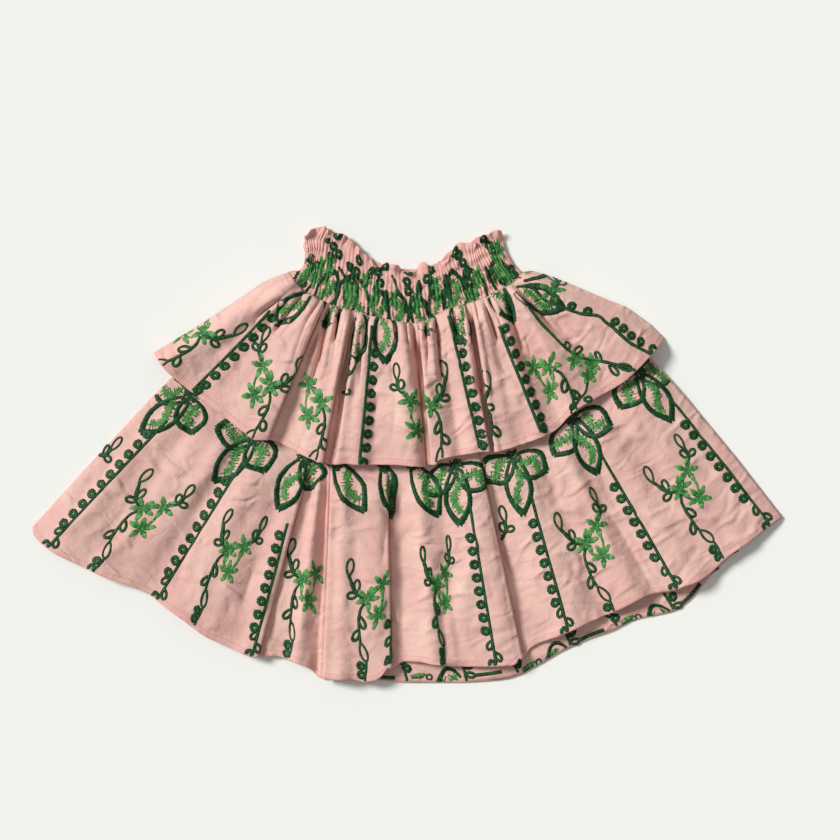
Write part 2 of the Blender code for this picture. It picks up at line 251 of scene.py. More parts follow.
def pink_dye(tree, uv, place, light, deep):
    """The cotton's colour: uneven in soft patches about 40 mm across, with faint streaks a
    millimetre wide."""
    patches = add_node(
        tree, "ShaderNodeTexNoise", {"Scale": 24.0, "Detail": 4.0, "Roughness": 0.65}, {"Vector": place}
    )
    streaks = add_node(tree, "ShaderNodeMapping", {"Scale": (900.0, 60.0, 1.0)}, {"Vector": uv})
    slub = add_node(
        tree, "ShaderNodeTexNoise", {"Scale": 1.0, "Detail": 2.0}, {"Vector": streaks.outputs["Vector"]}
    )
    both = add_node(
        tree,
        "ShaderNodeMath",
        {"operation": "MULTIPLY_ADD", 1: 0.25},
        {0: slub.outputs["Fac"], 2: patches.outputs["Fac"]},
    )
    dye = add_node(tree, "ShaderNodeValToRGB", (), {"Fac": both.outputs["Value"]})
    dye.color_ramp.elements[0].position = 0.4
    dye.color_ramp.elements[0].color = linear(deep)
    dye.color_ramp.elements[1].position = 0.85
    dye.color_ramp.elements[1].color = linear(light)
    # The turned-up hem is two layers deep, so it shows a stronger pink
    hem = add_node(tree, "ShaderNodeAttribute", {"attribute_name": "turned_up"})
    double = add_node(
        tree, "ShaderNodeMix", {"data_type": "RGBA", 7: linear("#E09C95")}, {6: dye.outputs["Color"]}
    )
    share = add_node(tree, "ShaderNodeMath", {"operation": "MULTIPLY", 1: 0.3}, {0: hem.outputs["Fac"]})
    tree.links.new(share.outputs["Value"], double.inputs[0])
    return double.outputs[2]


def worn_weave(tree, uv, place, wrinkle):
    """The cotton's relief: its weave, and the small folds that embroidery and wear leave."""
    # Weave: real threads are 0.2 mm apart, too fine to show, so they are drawn 1.8 mm apart;
    # a wave texture of scale 1 repeats every 0.314 m
    thread_pitch = 0.0018
    warp, weft = (
        add_node(
            tree,
            "ShaderNodeTexWave",
            {"bands_direction": direction, "Scale": 0.314 / thread_pitch, "Distortion": 0.4},
            {"Vector": uv},
        ).outputs["Fac"]
        for direction in ("X", "Y")
    )
    weave = add_node(tree, "ShaderNodeMath", {"operation": "MULTIPLY"}, {0: warp, 1: weft})
    # Crumple: soft dents about 10 mm across
    crumple = add_node(
        tree,
        "ShaderNodeTexNoise",
        {"Scale": 95.0, "Detail": 4.0, "Roughness": 0.55, "Distortion": 0.6},
        {"Vector": place},
    )
    # Wear lines: sharp folds that cross each other, from about 60 mm apart down to 7 mm
    lines = add_node(
        tree,
        "ShaderNodeTexNoise",
        {
            "noise_type": "RIDGED_MULTIFRACTAL",
            "Scale": 17.0,
            "Detail": 3.0,
            "Roughness": 0.6,
            "Distortion": 0.5,
        },
        {"Vector": place},
    )
    # Puckers: embroidery draws the cloth in, so small folds about 30 mm long run across it
    across = add_node(tree, "ShaderNodeMapping", {"Scale": (32.0, 74.0, 1.0)}, {"Vector": uv})
    puckers = add_node(
        tree,
        "ShaderNodeTexNoise",
        {
            "noise_type": "RIDGED_MULTIFRACTAL",
            "Scale": 1.0,
            "Detail": 3.0,
            "Roughness": 0.55,
            "Distortion": 0.7,
        },
        {"Vector": across.outputs["Vector"]},
    )
    # Each relief bends the surface that the one before it left: strength, depth in metres
    normal = {}
    for relief, strength, depth in (
        (weave.outputs["Value"], 0.25, 0.0002),
        (puckers.outputs["Fac"], wrinkle, 0.005),
        (lines.outputs["Fac"], wrinkle, 0.006),
        (crumple.outputs["Fac"], wrinkle, 0.002),
    ):
        bump = add_node(
            tree, "ShaderNodeBump", {"Strength": strength, "Distance": depth}, {"Height": relief, **normal}
        )
        normal = {"Normal": bump.outputs["Normal"]}
    return bump.outputs["Normal"]


def cotton_poplin(name, light, deep, wrinkle):
    """Plain-woven cotton: matt with a faint bloom, a fine even weave that the iron has
    flattened, dye a touch uneven, and small crumples from being worn and laid down."""
    material = bpy.data.materials.new(name)
    material.use_nodes = True
    tree = material.node_tree
    shader = tree.nodes["Principled BSDF"]
    shader.inputs["Roughness"].default_value = 0.82
    shader.inputs["Specular IOR Level"].default_value = 0.3
    shader.inputs["Sheen Weight"].default_value = 0.25
    shader.inputs["Sheen Roughness"].default_value = 0.5
    shader.inputs["Sheen Tint"].default_value = linear("#F6D5CC")
    uv = add_node(tree, "ShaderNodeUVMap", {"uv_map": "cloth"}).outputs["UV"]
    place = add_node(tree, "ShaderNodeTexCoord").outputs["Object"]
    tree.links.new(pink_dye(tree, uv, place, light, deep), shader.inputs["Base Color"])
    tree.links.new(worn_weave(tree, uv, place, wrinkle), shader.inputs["Normal"])
    return material


shirred_cotton = cotton_poplin("shirred_cotton_poplin", "#E6B5AB", "#D9A096", 0.7)

BAND_EDGE = read_table(BAND_MM, BAND_COLUMNS, 400)


def band_plan(columns, along):
    """Plan positions of the band, from its free edge down to the seam."""
    edge = read_table(BAND_MM, BAND_COLUMNS, columns)
    top = np.stack([edge["top_x"], edge["top_y"]], axis=-1)
    seam = np.stack([edge["seam_x"], edge["seam_y"]], axis=-1)
    return fan(top, seam, along, BAND_SIDES_MM)


def lifted(plan, z):
    """The points of a plan at height z."""
    return np.concatenate([plan, np.broadcast_to(z, plan.shape[:2])[..., None]], axis=2)


def pleated(s, t, seed):
    """Relief of the drawn-up cloth, 0 to 1: pinched at each elastic, puffed in between."""
    drift = 0.9 * unrest(s * 24, t * 5, seed) + 0.45 * unrest(s * 60, t * 9, seed + 1)
    pleat = 0.5 + 0.5 * np.cos(2 * np.pi * PLEATS * s + 2.2 * drift)
    puff = np.interp(t, PUFF_DOWN, PUFF)
    tall = 0.55 + 0.45 * unrest(s * 31, t * 7, seed + 2)
    return (0.35 + 0.65 * puff) * tall * pleat**0.8, puff


along = np.linspace(0, 1, 30)
plan = band_plan(241, along)
s, t = np.meshgrid(np.linspace(0, 1, 241), along)
relief, puff = pleated(s, t, 3)
drawn_up = smooth((t - 0.1) / 0.12)
under = (0.4 + 0.9 * (1 - relief) * drawn_up * smooth(np.minimum(s, 1 - s) / 0.02)) * MM
back_band = Layer(lifted(plan, under), lifted(plan, 0), face=-1)
thick = np.interp(along, (0.1, 0.22), (WALL + 0.2 * MM, SMOCKED))[:, None, None] - 0.1 * MM
waist_back, area = cut_cloth(
    "waist_back", back_band, thick - under[..., None], shirred_cotton, "waistband_back"
)

# Waistband, front half
# The same drawn-up cotton on the front. Five rows of elastic thread pinch it, the cloth
# puffs out between them, and above the top row it is left free as a narrow frill.
RUFFLES = 13                # waves in the free edge above the top row of elastic
along = np.concatenate([np.linspace(0, 0.2, 9), np.linspace(0.22, 1, 37)])
columns = PLEATS * 7 + 1
plan = band_plan(columns, along)
s, t = np.meshgrid(np.linspace(0, 1, columns), along)
relief, puff = pleated(s, t, 11)
ends = smooth(np.minimum(s, 1 - s) / 0.03)
free = 1 - smooth(t / 0.2)
wave = 0.5 - 0.5 * np.cos(2 * np.pi * RUFFLES * s + 0.9 * np.sin(9 * s) + 0.8 * unrest(s * 14, t, 5))
inside = np.interp(t, (0.1, 0.22), (WALL, SMOCKED)) + 0.3 * MM
frill = 6 * MM * (0.7 * wave + 0.6 * (1 - 2 * np.abs(unrest(s * 41 + t, t * 3, 6)))) * free * ends
bulge = (1.1 + 1.0 * puff) * MM * (1 - free) * ends
ribs = (0.8 + 1.6 * (1 - free)) * MM * relief * ends
height = inside + np.maximum(frill, -0.5 * MM) + 0.9 * MM + bulge * 0.6 + ribs
# The free edge wanders, and the drawn-up pleats lean this way and that
lean = np.stack([unrest(s * 40, t * 3, 21), unrest(s * 27, t * 2 + 40, 22)], axis=-1)
pleat_lean, frill_lean = np.array([0.9, 0.3]), np.array([3.6, 4.6])
reach = pleat_lean * (1 - free)[..., None] + frill_lean * free[..., None]
loose = ends * (1 - smooth((t - 0.9) / 0.1))
plan = plan + lean * reach * MM * loose[..., None]
front_band = Layer(lifted(plan, height), lifted(plan, 0))
waist_front, area = cut_cloth(
    "waist_front", front_band, 0.8 * MM, shirred_cotton, "waistband_front"
)

# Short tier, back
# The back half of the short tier: one flat layer of cotton poplin, face down on the
# table, gathered into the seam under the band and turned up 5 mm at its hem.
UPPER_COLUMNS = ("seam_x", "hem_x", "hem_y", "height")
# Fold lines from left to right: where each leaves the seam, meets the hem, and its height.
# A row of five is a lap: its last number is how far the cloth runs back under the edge,
# above 0 where the cloth to the right lies on top and below 0 where that to the left does
UPPER_MM = (
    (-99.8, -215, 86, 0),
    (-97, -213, 83, 3),
    (-94, -206, 74, 5.5),
    (-91, -192, 61, 3.5),
    (-88, -172, 46, 2),
    (-84, -154, 32, 4),
    (-79, -137, 19, 6),
    (-75, -128, 13, 7.3),
    (-69.5, -118.5, 13, 7.2, -6),
    (-66, -109, 11, 0.4),
    (-63.5, -101, 7, 1.0),
    (-58, -86, -1, 5),
    (-52.5, -79, -4, 5.8),
    (-47.5, -72, -6, 6.8, -5.5),
    (-45, -66, -8, 0.3),
    (-42, -60.5, -8, 6.4, 4),
    (-37.5, -51, -7, 5.3),
    (-33, -43, -8, 6),
    (-24, -28, -8, 3.5),
    (-15, -13, -8, 5),
    (-5, 2, -9, 7),
    (2, 11, -10, 5.8),
    (5.5, 16.2, -10, 0.4),
    (9, 21, -8, 6.6, 5.5),
    (14.5, 27, -4, 6.8),
    (19, 34, -2, 6.5),
    (25, 45, 0, 4),
    (33, 57, 2, 6.5),
    (43, 62, 3, 6.2),
    (49, 68.8, 3, 6.6, -2.5),
    (51.4, 71.6, 3, 0.3),
    (54, 74.6, 3, 6.8, 5),
    (57.5, 80, 4, 6.3),
    (61, 87, 6, 6.5),
    (65, 99, 10, 4),
    (70, 113, 15, 6),
    (76, 120, 18, 2.5),
    (80, 130, 25, 0.5),
    (83, 136, 32, 4),
    (85.5, 144, 39, 6.5),
    (88, 159, 48, 4),
    (90, 172, 55, 1.5),
    (92, 184, 63, 5),
    (94, 198, 76, 6.5),
    (95.5, 210, 89, 4),
    (96.5, 216, 96, 1.5),
    (97, 217, 99, 0),
)
# How far the left and right sides bow outwards on the way down
UPPER_SIDES_MM = (
    (0.0, 0, 0),
    (0.07, 1.5, 5),
    (0.18, 3.5, 7),
    (0.35, 2, 8.3),
    (0.52, 1, 9),
    (0.7, 0.5, 10.5),
    (0.88, 0.3, 6),
    (1.0, 0, 0),
)
# The cloth's way round a lap: place from the edge as a share of the lap, share of height
ROUND_A_LAP = (
    (-0.35, 0.3),
    (0.35, 0.12),
    (0.9, 0.06),
    (1.0, 0.17),
    (0.7, 0.36),
    (0.25, 0.6),
    (0.0, 0.79),
    (0.03, 0.95),
    (0.45, 1.0),
)
LAP_STEP = 0.45             # mm from row to row of a lap, at the seam
SEAM_GAP = 0.3              # mm between the band and the tiers
HEM = 5 * MM                # depth of each turned-up hem


def with_laps(table):
    """Puts the nine rows of each lap in the place of its one row."""
    rows = []
    for row in table:
        if len(row) == 4:
            rows.append(row)
            continue
        top_x, hem_x, hem_y, height, lap = row
        for i, (share, tall) in enumerate(ROUND_A_LAP if lap > 0 else ROUND_A_LAP[::-1]):
            rows.append((top_x + LAP_STEP * (i - 4), hem_x + share * lap, hem_y, height * tall))
    return rows


def read_evenly(table, columns, pitch, extra):
    """Reads a fold table at columns about pitch mm apart along the hem, closer in laps."""
    place = np.linspace(0, len(table) - 1, 60 * len(table))
    dense = read_rows(table, place)
    step = np.linalg.norm(np.diff(dense[:, 1:4], axis=0), axis=1)
    measure = np.concatenate([[0], np.cumsum(step)]) / pitch + extra * place
    wanted = np.linspace(0, measure[-1], int(measure[-1]) + 2)
    return named(read_rows(table, np.interp(wanted, measure, place)), columns)


def seam_line(x):
    """Points of the tiers' top edges, one gap below the band's lower edge."""
    y = lambda at: np.interp(at, BAND_EDGE["seam_x"], BAND_EDGE["seam_y"])
    tilt = (y(x + MM) - y(x - MM)) / (2 * MM)
    size = np.sqrt(1 + tilt * tilt)
    return np.stack([x + tilt / size * SEAM_GAP * MM, y(x) - SEAM_GAP * MM / size], axis=-1)


UPPER_EDGE = named(np.array([row[:4] for row in UPPER_MM], float), UPPER_COLUMNS)
tier_cotton = cotton_poplin("tier_cotton_poplin", "#E4BFB1", "#D9A69E", 0.65)

along = np.linspace(0, 1, 36)
columns = 130
fold = read_table([row for row in UPPER_MM if len(row) == 4], UPPER_COLUMNS, columns)
seam = seam_line(fold["seam_x"])
share = np.linspace(0, 1, columns)
# This half's hem lies 5 mm short of the front one, so that it doesn't show below it
shorter = 5 * MM * smooth(share * 14) * smooth((1 - share) * 14)
hem = np.stack([fold["hem_x"], fold["hem_y"] + shorter], axis=-1)
plan = fan(seam, hem, along, UPPER_SIDES_MM)
s, t = np.meshgrid(share, along)
gather = 0.75 * MM + 0.2 * MM * (1 + unrest(s * 50, t * 1.5, 31)) * smooth(s * 25) * smooth((1 - s) * 25)
short_back = Layer(lifted(plan, gather), face=-1)
tier_short_back, area = cut_cloth(
    "tier_short_back", short_back, CLOTH, tier_cotton, "upper_tier_back", HEM
)

# Long tier, back
# The back half of the long tier, with its wrong side up. Its hem shows below the front
# one on the right, and the wrong side of its embroidery with it.

# Lines of this half: where each passes the short tier's hem, and where it meets its own
BACK_LOWER_COLUMNS = ("knee_x", "hem_x", "hem_y")
BACK_LOWER_MM = (
    (-201, -318, -61),
    (-185, -303, -78),
    (-163, -266, -95),
    (-137, -222, -112),
    (-113, -181, -142),
    (-95, -150, -158),
    (-76, -104, -168),
    (-67, -72, -183),
    (-37, -38, -189),
    (-15, -13, -192),
    (0, 10, -193),
    (19, 40, -193),
    (34, 63, -192),
    (47, 82, -190),
    (58, 96, -186),
    (86, 130, -167),
    (101, 154, -156),
    (110, 171, -150),
    (124, 195, -139),
    (134, 211, -136),
    (143, 227, -132),
    (148, 235, -127),
    (154, 244, -119),
    (160, 253, -108),
    (165, 261, -99),
    (172, 271, -89),
    (181, 285, -77),
    (195, 306, -62),
    (205, 318, -53),
)
LOWER_SIDES_MM = (
    (0.0, 0, 0),
    (0.3, -1, 0),
    (0.45, -3, 0),
    (0.6, -1.5, 2),
    (0.8, -0.3, 2),
    (1.0, 0, 0),
)


def past_upper_hem(x, y):
    """How far a point lies below the short tier's front hem, square to the hem."""
    hem = np.interp(x, UPPER_EDGE["hem_x"], UPPER_EDGE["hem_y"])
    slope = np.interp(np.abs(x), (60 * MM, 160 * MM), (0.0, 0.75))
    return (hem - y) / np.sqrt(1 + slope * slope)


def step_down(x, y, start, length):
    """A layer's height over the short tier's back, easing to 0 below its hem."""
    return LAYER * (1 - smooth((past_upper_hem(x, y) - start) / length))


def lower_lines(fold, ends):
    """Seam, knee and hem points of the long tier's lines."""
    x = fold["knee_x"]
    seam_x = np.interp(x, ends, (-84 * MM, 84 * MM))
    knee_y = np.interp(x, UPPER_EDGE["hem_x"], UPPER_EDGE["hem_y"])
    hem = np.stack([fold["hem_x"], fold["hem_y"]], axis=-1)
    return seam_line(seam_x), np.stack([x, knee_y], axis=-1), hem


along = np.concatenate([np.linspace(0, 0.42, 12), np.linspace(0.44, 1, 62)])
columns = 230
fold = read_table(BACK_LOWER_MM, BACK_LOWER_COLUMNS, columns)
seam, knee, hem = lower_lines(fold, (fold["knee_x"][0], fold["knee_x"][-1]))
plan = fan(seam, hem, along, LOWER_SIDES_MM, knee)
x, y = plan[..., 0], plan[..., 1]
edge = np.linspace(0, 1, columns)[None, :]
calm = smooth(edge * 20) * smooth((1 - edge) * 20)
slack = 0.75 * MM + 0.2 * MM * (1 + unrest(x / 0.018, y / 0.03, 41)) * calm
slack = slack + 0.5 * MM * (1 + crumpled(x / 0.03, y / 0.03, 43)) * calm * smooth((-y - 0.12) / 0.03)
long_back = Layer(lifted(plan, step_down(x, y, 2 * MM, 12 * MM) + slack), face=-1)
tier_long_back, area = cut_cloth(
    "tier_long_back", long_back, CLOTH, tier_cotton, "lower_tier_back", HEM
)

# Long tier, front
# The long tier's front: cotton poplin gathered at the seam, nearly flat under the short
# tier and falling below it into broad soft folds, four of which lap over each other.
LOWER_COLUMNS = ("knee_x", "hem_x", "hem_y", "height")
LOWER_MM = (
    (-201, -318, -61, 0),
    (-198, -317, -67, 1.2),
    (-191, -311, -74, 2.5),
    (-182, -299, -83, 4),
    (-170, -278, -93, 3),
    (-156, -254, -104, 5),
    (-145, -236, -110, 4),
    (-136, -221, -117, 2),
    (-127, -206, -128, 4.5),
    (-117, -189, -140, 6),
    (-106, -170, -154, 5),
    (-96, -152, -162, 3.5),
    (-87, -137, -169, 5.5),
    (-81.5, -127, -171, 5.3, -4),
    (-77, -114, -170, 0.8),
    (-75, -104, -172, 1.3),
    (-73, -93, -176, 4.8),
    (-70, -83, -181, 2.2),
    (-67.5, -77, -187, 0.6),
    (-64.5, -71, -189, 5.6, 5),
    (-60, -64, -190, 5.8),
    (-53, -56, -190, 7),
    (-43, -45, -190, 5.5),
    (-33, -33, -192, 6),
    (-24, -23, -188, 6.2),
    (-17, -14, -180, 5.8, -5.5),
    (-9, -3, -175, 0.8),
    (0, 10, -175, 3),
    (8, 23, -177, 5.5),
    (23, 46, -179, 2.5),
    (32, 60, -179, 4.5),
    (49, 83, -178, 7),
    (56, 91, -177, 6.9),
    (60.5, 97, -172, 6.2, -6),
    (66, 104, -164, 0.8),
    (72, 113, -159, 1.5),
    (83, 126, -154, 4),
    (93, 140, -148, 5.5),
    (101, 154, -141, 4.5),
    (108, 167, -136, 2.5),
    (116, 181, -130, 4),
    (124, 194, -123, 5.5),
    (131, 206, -118, 3),
    (137, 216, -116, 2),
    (144, 229, -113, 4.5),
    (153, 243, -108, 5.5),
    (163, 258, -99, 3.5),
    (171, 269, -88, 4.5),
    (180, 284, -77, 5),
    (189, 297, -68, 3.5),
    (197, 309, -59, 2),
    (205, 318, -53, 0),
)
# Creases, listed one by one in the plan: start, end, half width, height (below 0 for a trough)
LOWER_CREASES_MM = (
    (172, -50, 211, -118, 2.8, -1.9),
    (182, -46, 216, -104, 2.2, 1.3),
    (266, -77, 292, -66, 3.0, 1.4),
    (291, -66, 299, -49, 2.6, 1.4),
    (175, 2, 195, 29, 4.0, 1.3),
    (139, -117, 145, -92, 2.6, 1.5),
    (145, -95, 134, -70, 2.6, 1.2),
    (-232, -66, -262, -92, 3.0, 1.3),
    (-180, -60, -196, -112, 3.2, -1.5),
    (28, -130, 34, -172, 4.0, -2.2),
    (44, -120, 50, -165, 4.0, 1.8),
    (-175, 12, -205, -22, 9, -1.6),
    (-205, -22, -248, -88, 13, -1.2),
    (-150, 20, -190, -60, 8, 1.0),
    (-106, -84, -117, -156, 5, -1.3),
    (-92, -40, -98, -110, 5, 0.9),
    (22, -37, 16, -88, 5, -1.5),
    (-11, -58, 8, -60, 4, 1.0),
    (-11, -66, 8, -70, 3, -0.7),
    (50, -60, 57, -120, 8, 1.0),
    (122, 14, 159, -54, 6, -1.5),
    (131, 0, 164, -55, 4, 1.1),
    (140, -89, 141, -114, 3, -1.1),
    (133, -78, 140, -90, 3, 0.8),
    (175, -20, 205, -70, 10, -1.0),
    (196, 28, 226, -6, 9, 1.0),
    (255, -72, 268, -92, 4, -1.0),
    (228, -50, 262, -58, 5, 0.7),
    (92, -50, 112, -86, 5, 0.8),
    (-240, -40, -285, -75, 8, 0.8),
    (-60, -80, -45, -95, 4, 0.8),
    (-48, -60, -20, -88, 3, -0.5),
)


def scattered(seed, count, wide, deep):
    """Short sharp creases from wear, mostly down the cloth, as rows of a crease table."""
    chance = np.random.default_rng(seed)
    x, y = chance.uniform(*wide, count), chance.uniform(*deep, count)
    lean = np.arctan2(x, 190 - y) + chance.normal(0, 0.5, count)
    long = chance.uniform(14, 46, count)
    height = chance.uniform(0.8, 1.9, count) * chance.choice((-1, 1), count)
    end_x, end_y = x + long * np.sin(lean), y - long * np.cos(lean)
    return np.stack([x, y, end_x, end_y, chance.uniform(1.8, 3.4, count), height], axis=1)


def creased(plan, creases, blunt=2.0, lips=0.0):
    """Height that creases add to a layer; blunt 2 rounds their tops, 1 leaves them sharp.

    lips is the share of a crease's height that the cloth turns back by on both sides of it.
    """
    add = np.zeros(plan.shape[:2])
    for x0, y0, x1, y1, half, height in np.array(creases) * MM:
        start, way = np.array([x0, y0]), np.array([x1 - x0, y1 - y0])
        size = np.hypot(*way)
        along = ((plan - start) @ way) / size**2
        off = np.abs((plan - start) @ np.array([-way[1], way[0]])) / size
        cross = np.exp(-((off / half) ** blunt)) - lips * np.exp(-((off / half - 2.6) ** 2))
        add += height * cross * smooth((along + 0.15) / 0.35) * smooth((1.15 - along) / 0.35)
    return add


def from_sides(plan):
    """How far each point lies from the nearer of a layer's two side edges."""
    left = np.linalg.norm(plan - plan[:, :1], axis=2)
    right = np.linalg.norm(plan - plan[:, -1:], axis=2)
    return np.minimum(left, right)


def along_hem(hem, x):
    """Each column's measure along the hem, for every row of a grid like x."""
    steps = np.linalg.norm(np.diff(hem, axis=0), axis=1)
    return np.concatenate([[0], np.cumsum(steps)])[None, :] + 0 * x


def faced(inner, from_seam, flat=None):
    """A tier's face: its inside moved out by the cloth, and more where the hem is double."""
    turned_up = 0.3 * MM * smooth((from_seam - from_seam[-1:] + HEM + 0.6 * MM) / (0.9 * MM))
    return Layer(inner + Layer(inner).normals * (0.95 * MM + turned_up)[..., None], flat)


along = np.concatenate([np.linspace(0, 0.4, 10), np.linspace(0.425, 0.97, 82), np.linspace(0.976, 1, 6)])
fold = read_evenly(with_laps(LOWER_MM), LOWER_COLUMNS, 3.1, 1.7)
seam, knee, hem = lower_lines(fold, (fold["knee_x"][0], fold["knee_x"][-1]))
plan = fan(seam, hem, along, LOWER_SIDES_MM, knee)
x, y = plan[..., 0], plan[..., 1]
t = np.broadcast_to(along[:, None], x.shape)
from_seam = np.linalg.norm(plan - seam, axis=2)
covered = 2 * MM * smooth((from_seam - 4 * MM) / (30 * MM))
open_air = smooth((past_upper_hem(x, y) - 3 * MM) / (26 * MM))
full = covered + 10 * MM * open_air
calm = smooth(from_sides(plan) / (14 * MM)) * open_air
cut = along_hem(hem, x)
height = fold["height"] / (7.5 * MM) * full * (1.08 + 0.14 * unrest(cut / 0.05, t * 3, 55))
height = height + calm * (
    creased(plan, LOWER_CREASES_MM)
    + 1.0 * MM * unrest(cut / 0.014, t * 2.6, 51)
    + 1.5 * MM * crumpled(cut / 0.034, from_seam / 0.055, 52)
    + 0.6 * MM * crumpled(cut / 0.017, from_seam / 0.025, 54)
    + creased(plan, scattered(56, 84, (-290, 300), (-175, 40)), 1.3)
    + 0.12 * MM * unrest(x / 0.006, y / 0.006, 53)
)
inner = lifted(plan, step_down(x, y, 24 * MM, 34 * MM) + LAYER + np.where(height > 0, height, 0.1 * height))
long_front = faced(inner, from_seam)
tier_long_front, area = cut_cloth(
    "tier_long_front", long_front, CLOTH, tier_cotton, "lower_tier_front", HEM
)

# Short tier, front
# The short tier's front lies on top: tight gathers under the band open into flat panels
# with deep narrow laps between them, and its hem stands clear of the long tier.

# How high the folds stand on the way to the hem: share of the way, share of their height
UPPER_RISE = ((0.0, 0.3), (0.05, 0.8), (0.12, 1.05), (0.3, 1.1), (0.75, 1.05), (1.0, 0.92))
# Furrows and creases, listed one by one in rows like those of the long tier's table
UPPER_FURROWS_MM = (
    (-66, 124, -74, 82, 1.7, -9.0),
    (-74, 84, -80, 64, 2.0, -6.5),
    (-46, 112, -50, 80, 1.8, -9.0),
    (-50, 82, -57, 54, 2.2, -8.0),
    (-35, 116, -35, 90, 1.6, -6.0),
    (-9.7, 118, -8, 96, 1.6, -8.0),
    (5, 116, 7, 84, 1.7, -7.0),
    (17.5, 120, 15, 98, 1.6, -9.0),
    (24, 118, 28, 66, 1.8, -6.0),
    (55, 114, 57, 92, 1.8, -9.0),
    (57, 94, 62, 54, 2.2, -8.5),
    (40, 122, 43, 100, 1.5, -6.0),
    (84, 132, 96, 90, 1.8, -8.0),
    (-55, 128, -62, 96, 1.6, -6.0),
    (-88, 136, -112, 104, 1.8, -5.0),
    (-106, 133, -126, 118, 1.6, -4.0),
    (66, 126, 76, 98, 1.6, -6.0),
    (92, 142, 124, 106, 1.8, -4.5),
)
UPPER_CREASES_MM = (
    (-48, 112, -52, 60, 5, -1.6),
    (-52, 60, -60, 10, 8, -1.2),
    (-67, 118, -88, 76, 3, -1.2),
    (3, 108, 8, 70, 3, -1.4),
    (54, 112, 60, 76, 3, -1.3),
    (80, 124, 97, 84, 4, -1.8),
    (97, 84, 108, 72, 5, -1.0),
    (117, 92, 138, 44, 4, 1.2),
    (107, 84, 124, 46, 5, -1.2),
    (155, 86, 172, 90, 4, 0.8),
    (150, 78, 168, 70, 4, -0.8),
    (-43, 78, -52, 40, 3, 0.9),
    (-150, 100, -120, 84, 5, 0.7),
    (-175, 84, -140, 96, 6, -0.8),
    (-120, 86, -140, 50, 6, -0.9),
    (-112, 60, -96, 40, 4, 0.7),
    (-10, 50, 2, 20, 6, 0.8),
    (38, 66, 46, 30, 6, -0.9),
    (88, 70, 92, 30, 6, 0.8),
)
along = np.concatenate([np.linspace(0, 0.965, 58), np.linspace(0.972, 1, 5)])
fold = read_evenly(with_laps(UPPER_MM), UPPER_COLUMNS, 2.6, 1.9)
seam = seam_line(fold["seam_x"])
hem = np.stack([fold["hem_x"], fold["hem_y"]], axis=-1)
plan = fan(seam, hem, along, UPPER_SIDES_MM)
x, y = plan[..., 0], plan[..., 1]
t = np.broadcast_to(along[:, None], x.shape)
from_seam = np.linalg.norm(plan - seam, axis=2)
calm = smooth(from_sides(plan) / (12 * MM))
level = 3 * LAYER + 2.1 * MM * smooth(from_seam / (14 * MM))
base = LAYER + (level - LAYER) * calm
rise = np.interp(along, *zip(*UPPER_RISE))[:, None]
cut = along_hem(hem, x)
seam_cut = fold["seam_x"][None, :] + 0 * x
drawn = np.exp(-((t / (0.27 + 0.13 * unrest(cut / 0.01, 0 * t, 64))) ** 2))
# Between round ridges the gathers pinch into narrow deep furrows that die out downwards
pinch = np.abs(unrest(seam_cut / 0.0062 + 0.35 * unrest(seam_cut / 0.012, t * 4, 67), t * 1.3, 61))
furrow = smooth(1 - 3.2 * pinch)
height = fold["height"][None, :] * rise * (1.62 + 0.14 * unrest(cut / 0.05, t * 3, 65)) + calm * (
    (1.4 * MM - 7.0 * MM * furrow) * drawn * smooth(t / 0.02)
    + 1.2 * creased(plan, UPPER_CREASES_MM) * smooth(t / 0.06)
    + creased(plan, UPPER_FURROWS_MM, 2.0, 0.28) * smooth(t / 0.04)
    + (0.8 * MM * unrest(cut / 0.012, t * 2.4, 62) + 1.15 * MM * crumpled(cut / 0.03, from_seam / 0.05, 63)
       + 0.5 * MM * crumpled(cut / 0.016, from_seam / 0.022, 68)
       + creased(plan, scattered(69, 44, (-190, 190), (-5, 120)), 1.3)
       + 0.12 * MM * unrest(x / 0.006, y / 0.006, 66)) * smooth(t / 0.15)
)
inner = lifted(plan, base + np.where(height > 0, height, 0.15 * height))
short_front = faced(inner, from_seam, lifted(plan, fold["height"][None, :] * rise))
tier_short_front, area = cut_cloth(
    "tier_short_front", short_front, CLOTH, tier_cotton, "upper_tier_front", HEM
)

# Embroidery
# Machine embroidery in glossy dark-green and bright-green thread, worked on the cloth
# before it was cut and gathered: rows of ring dots along a line, pointed petals round a
# dark centre, and sprigs of small stars on a looping vine. It runs into laps and seams.
THREAD = 0.8                # width a stitch is drawn, in mm; two real threads side by side
RIDGE = 0.72                # width of a stitch's ridge, as a share of its foot
DOT_PITCH = 11.5            # mm from one ring dot to the next
REPEAT = 89.0               # mm in which the print repeats across the cloth


def at(grid, r, c):
    """Reads a grid of points at fractional rows and columns."""
    i = np.clip(r.astype(int), 0, grid.shape[0] - 2)
    j = np.clip(c.astype(int), 0, grid.shape[1] - 2)
    fr, fc = (r - i)[..., None], (c - j)[..., None]
    upper = grid[i, j] * (1 - fc) + grid[i, j + 1] * fc
    lower = grid[i + 1, j] * (1 - fc) + grid[i + 1, j + 1] * fc
    return upper * (1 - fr) + lower * fr


def spot_on(layer, x, y):
    """Row and column of the cloth that shows at a place in the plan, given in mm."""
    gap = layer.points[..., :2] - np.array([x, y]) * MM
    far = np.hypot(gap[..., 0], gap[..., 1])
    shown = np.where(far < 3 * MM, layer.face * layer.points[..., 2] - 0.6 * far, -1e3 - far)
    return np.array(np.unravel_index(np.argmax(shown), far.shape), float)


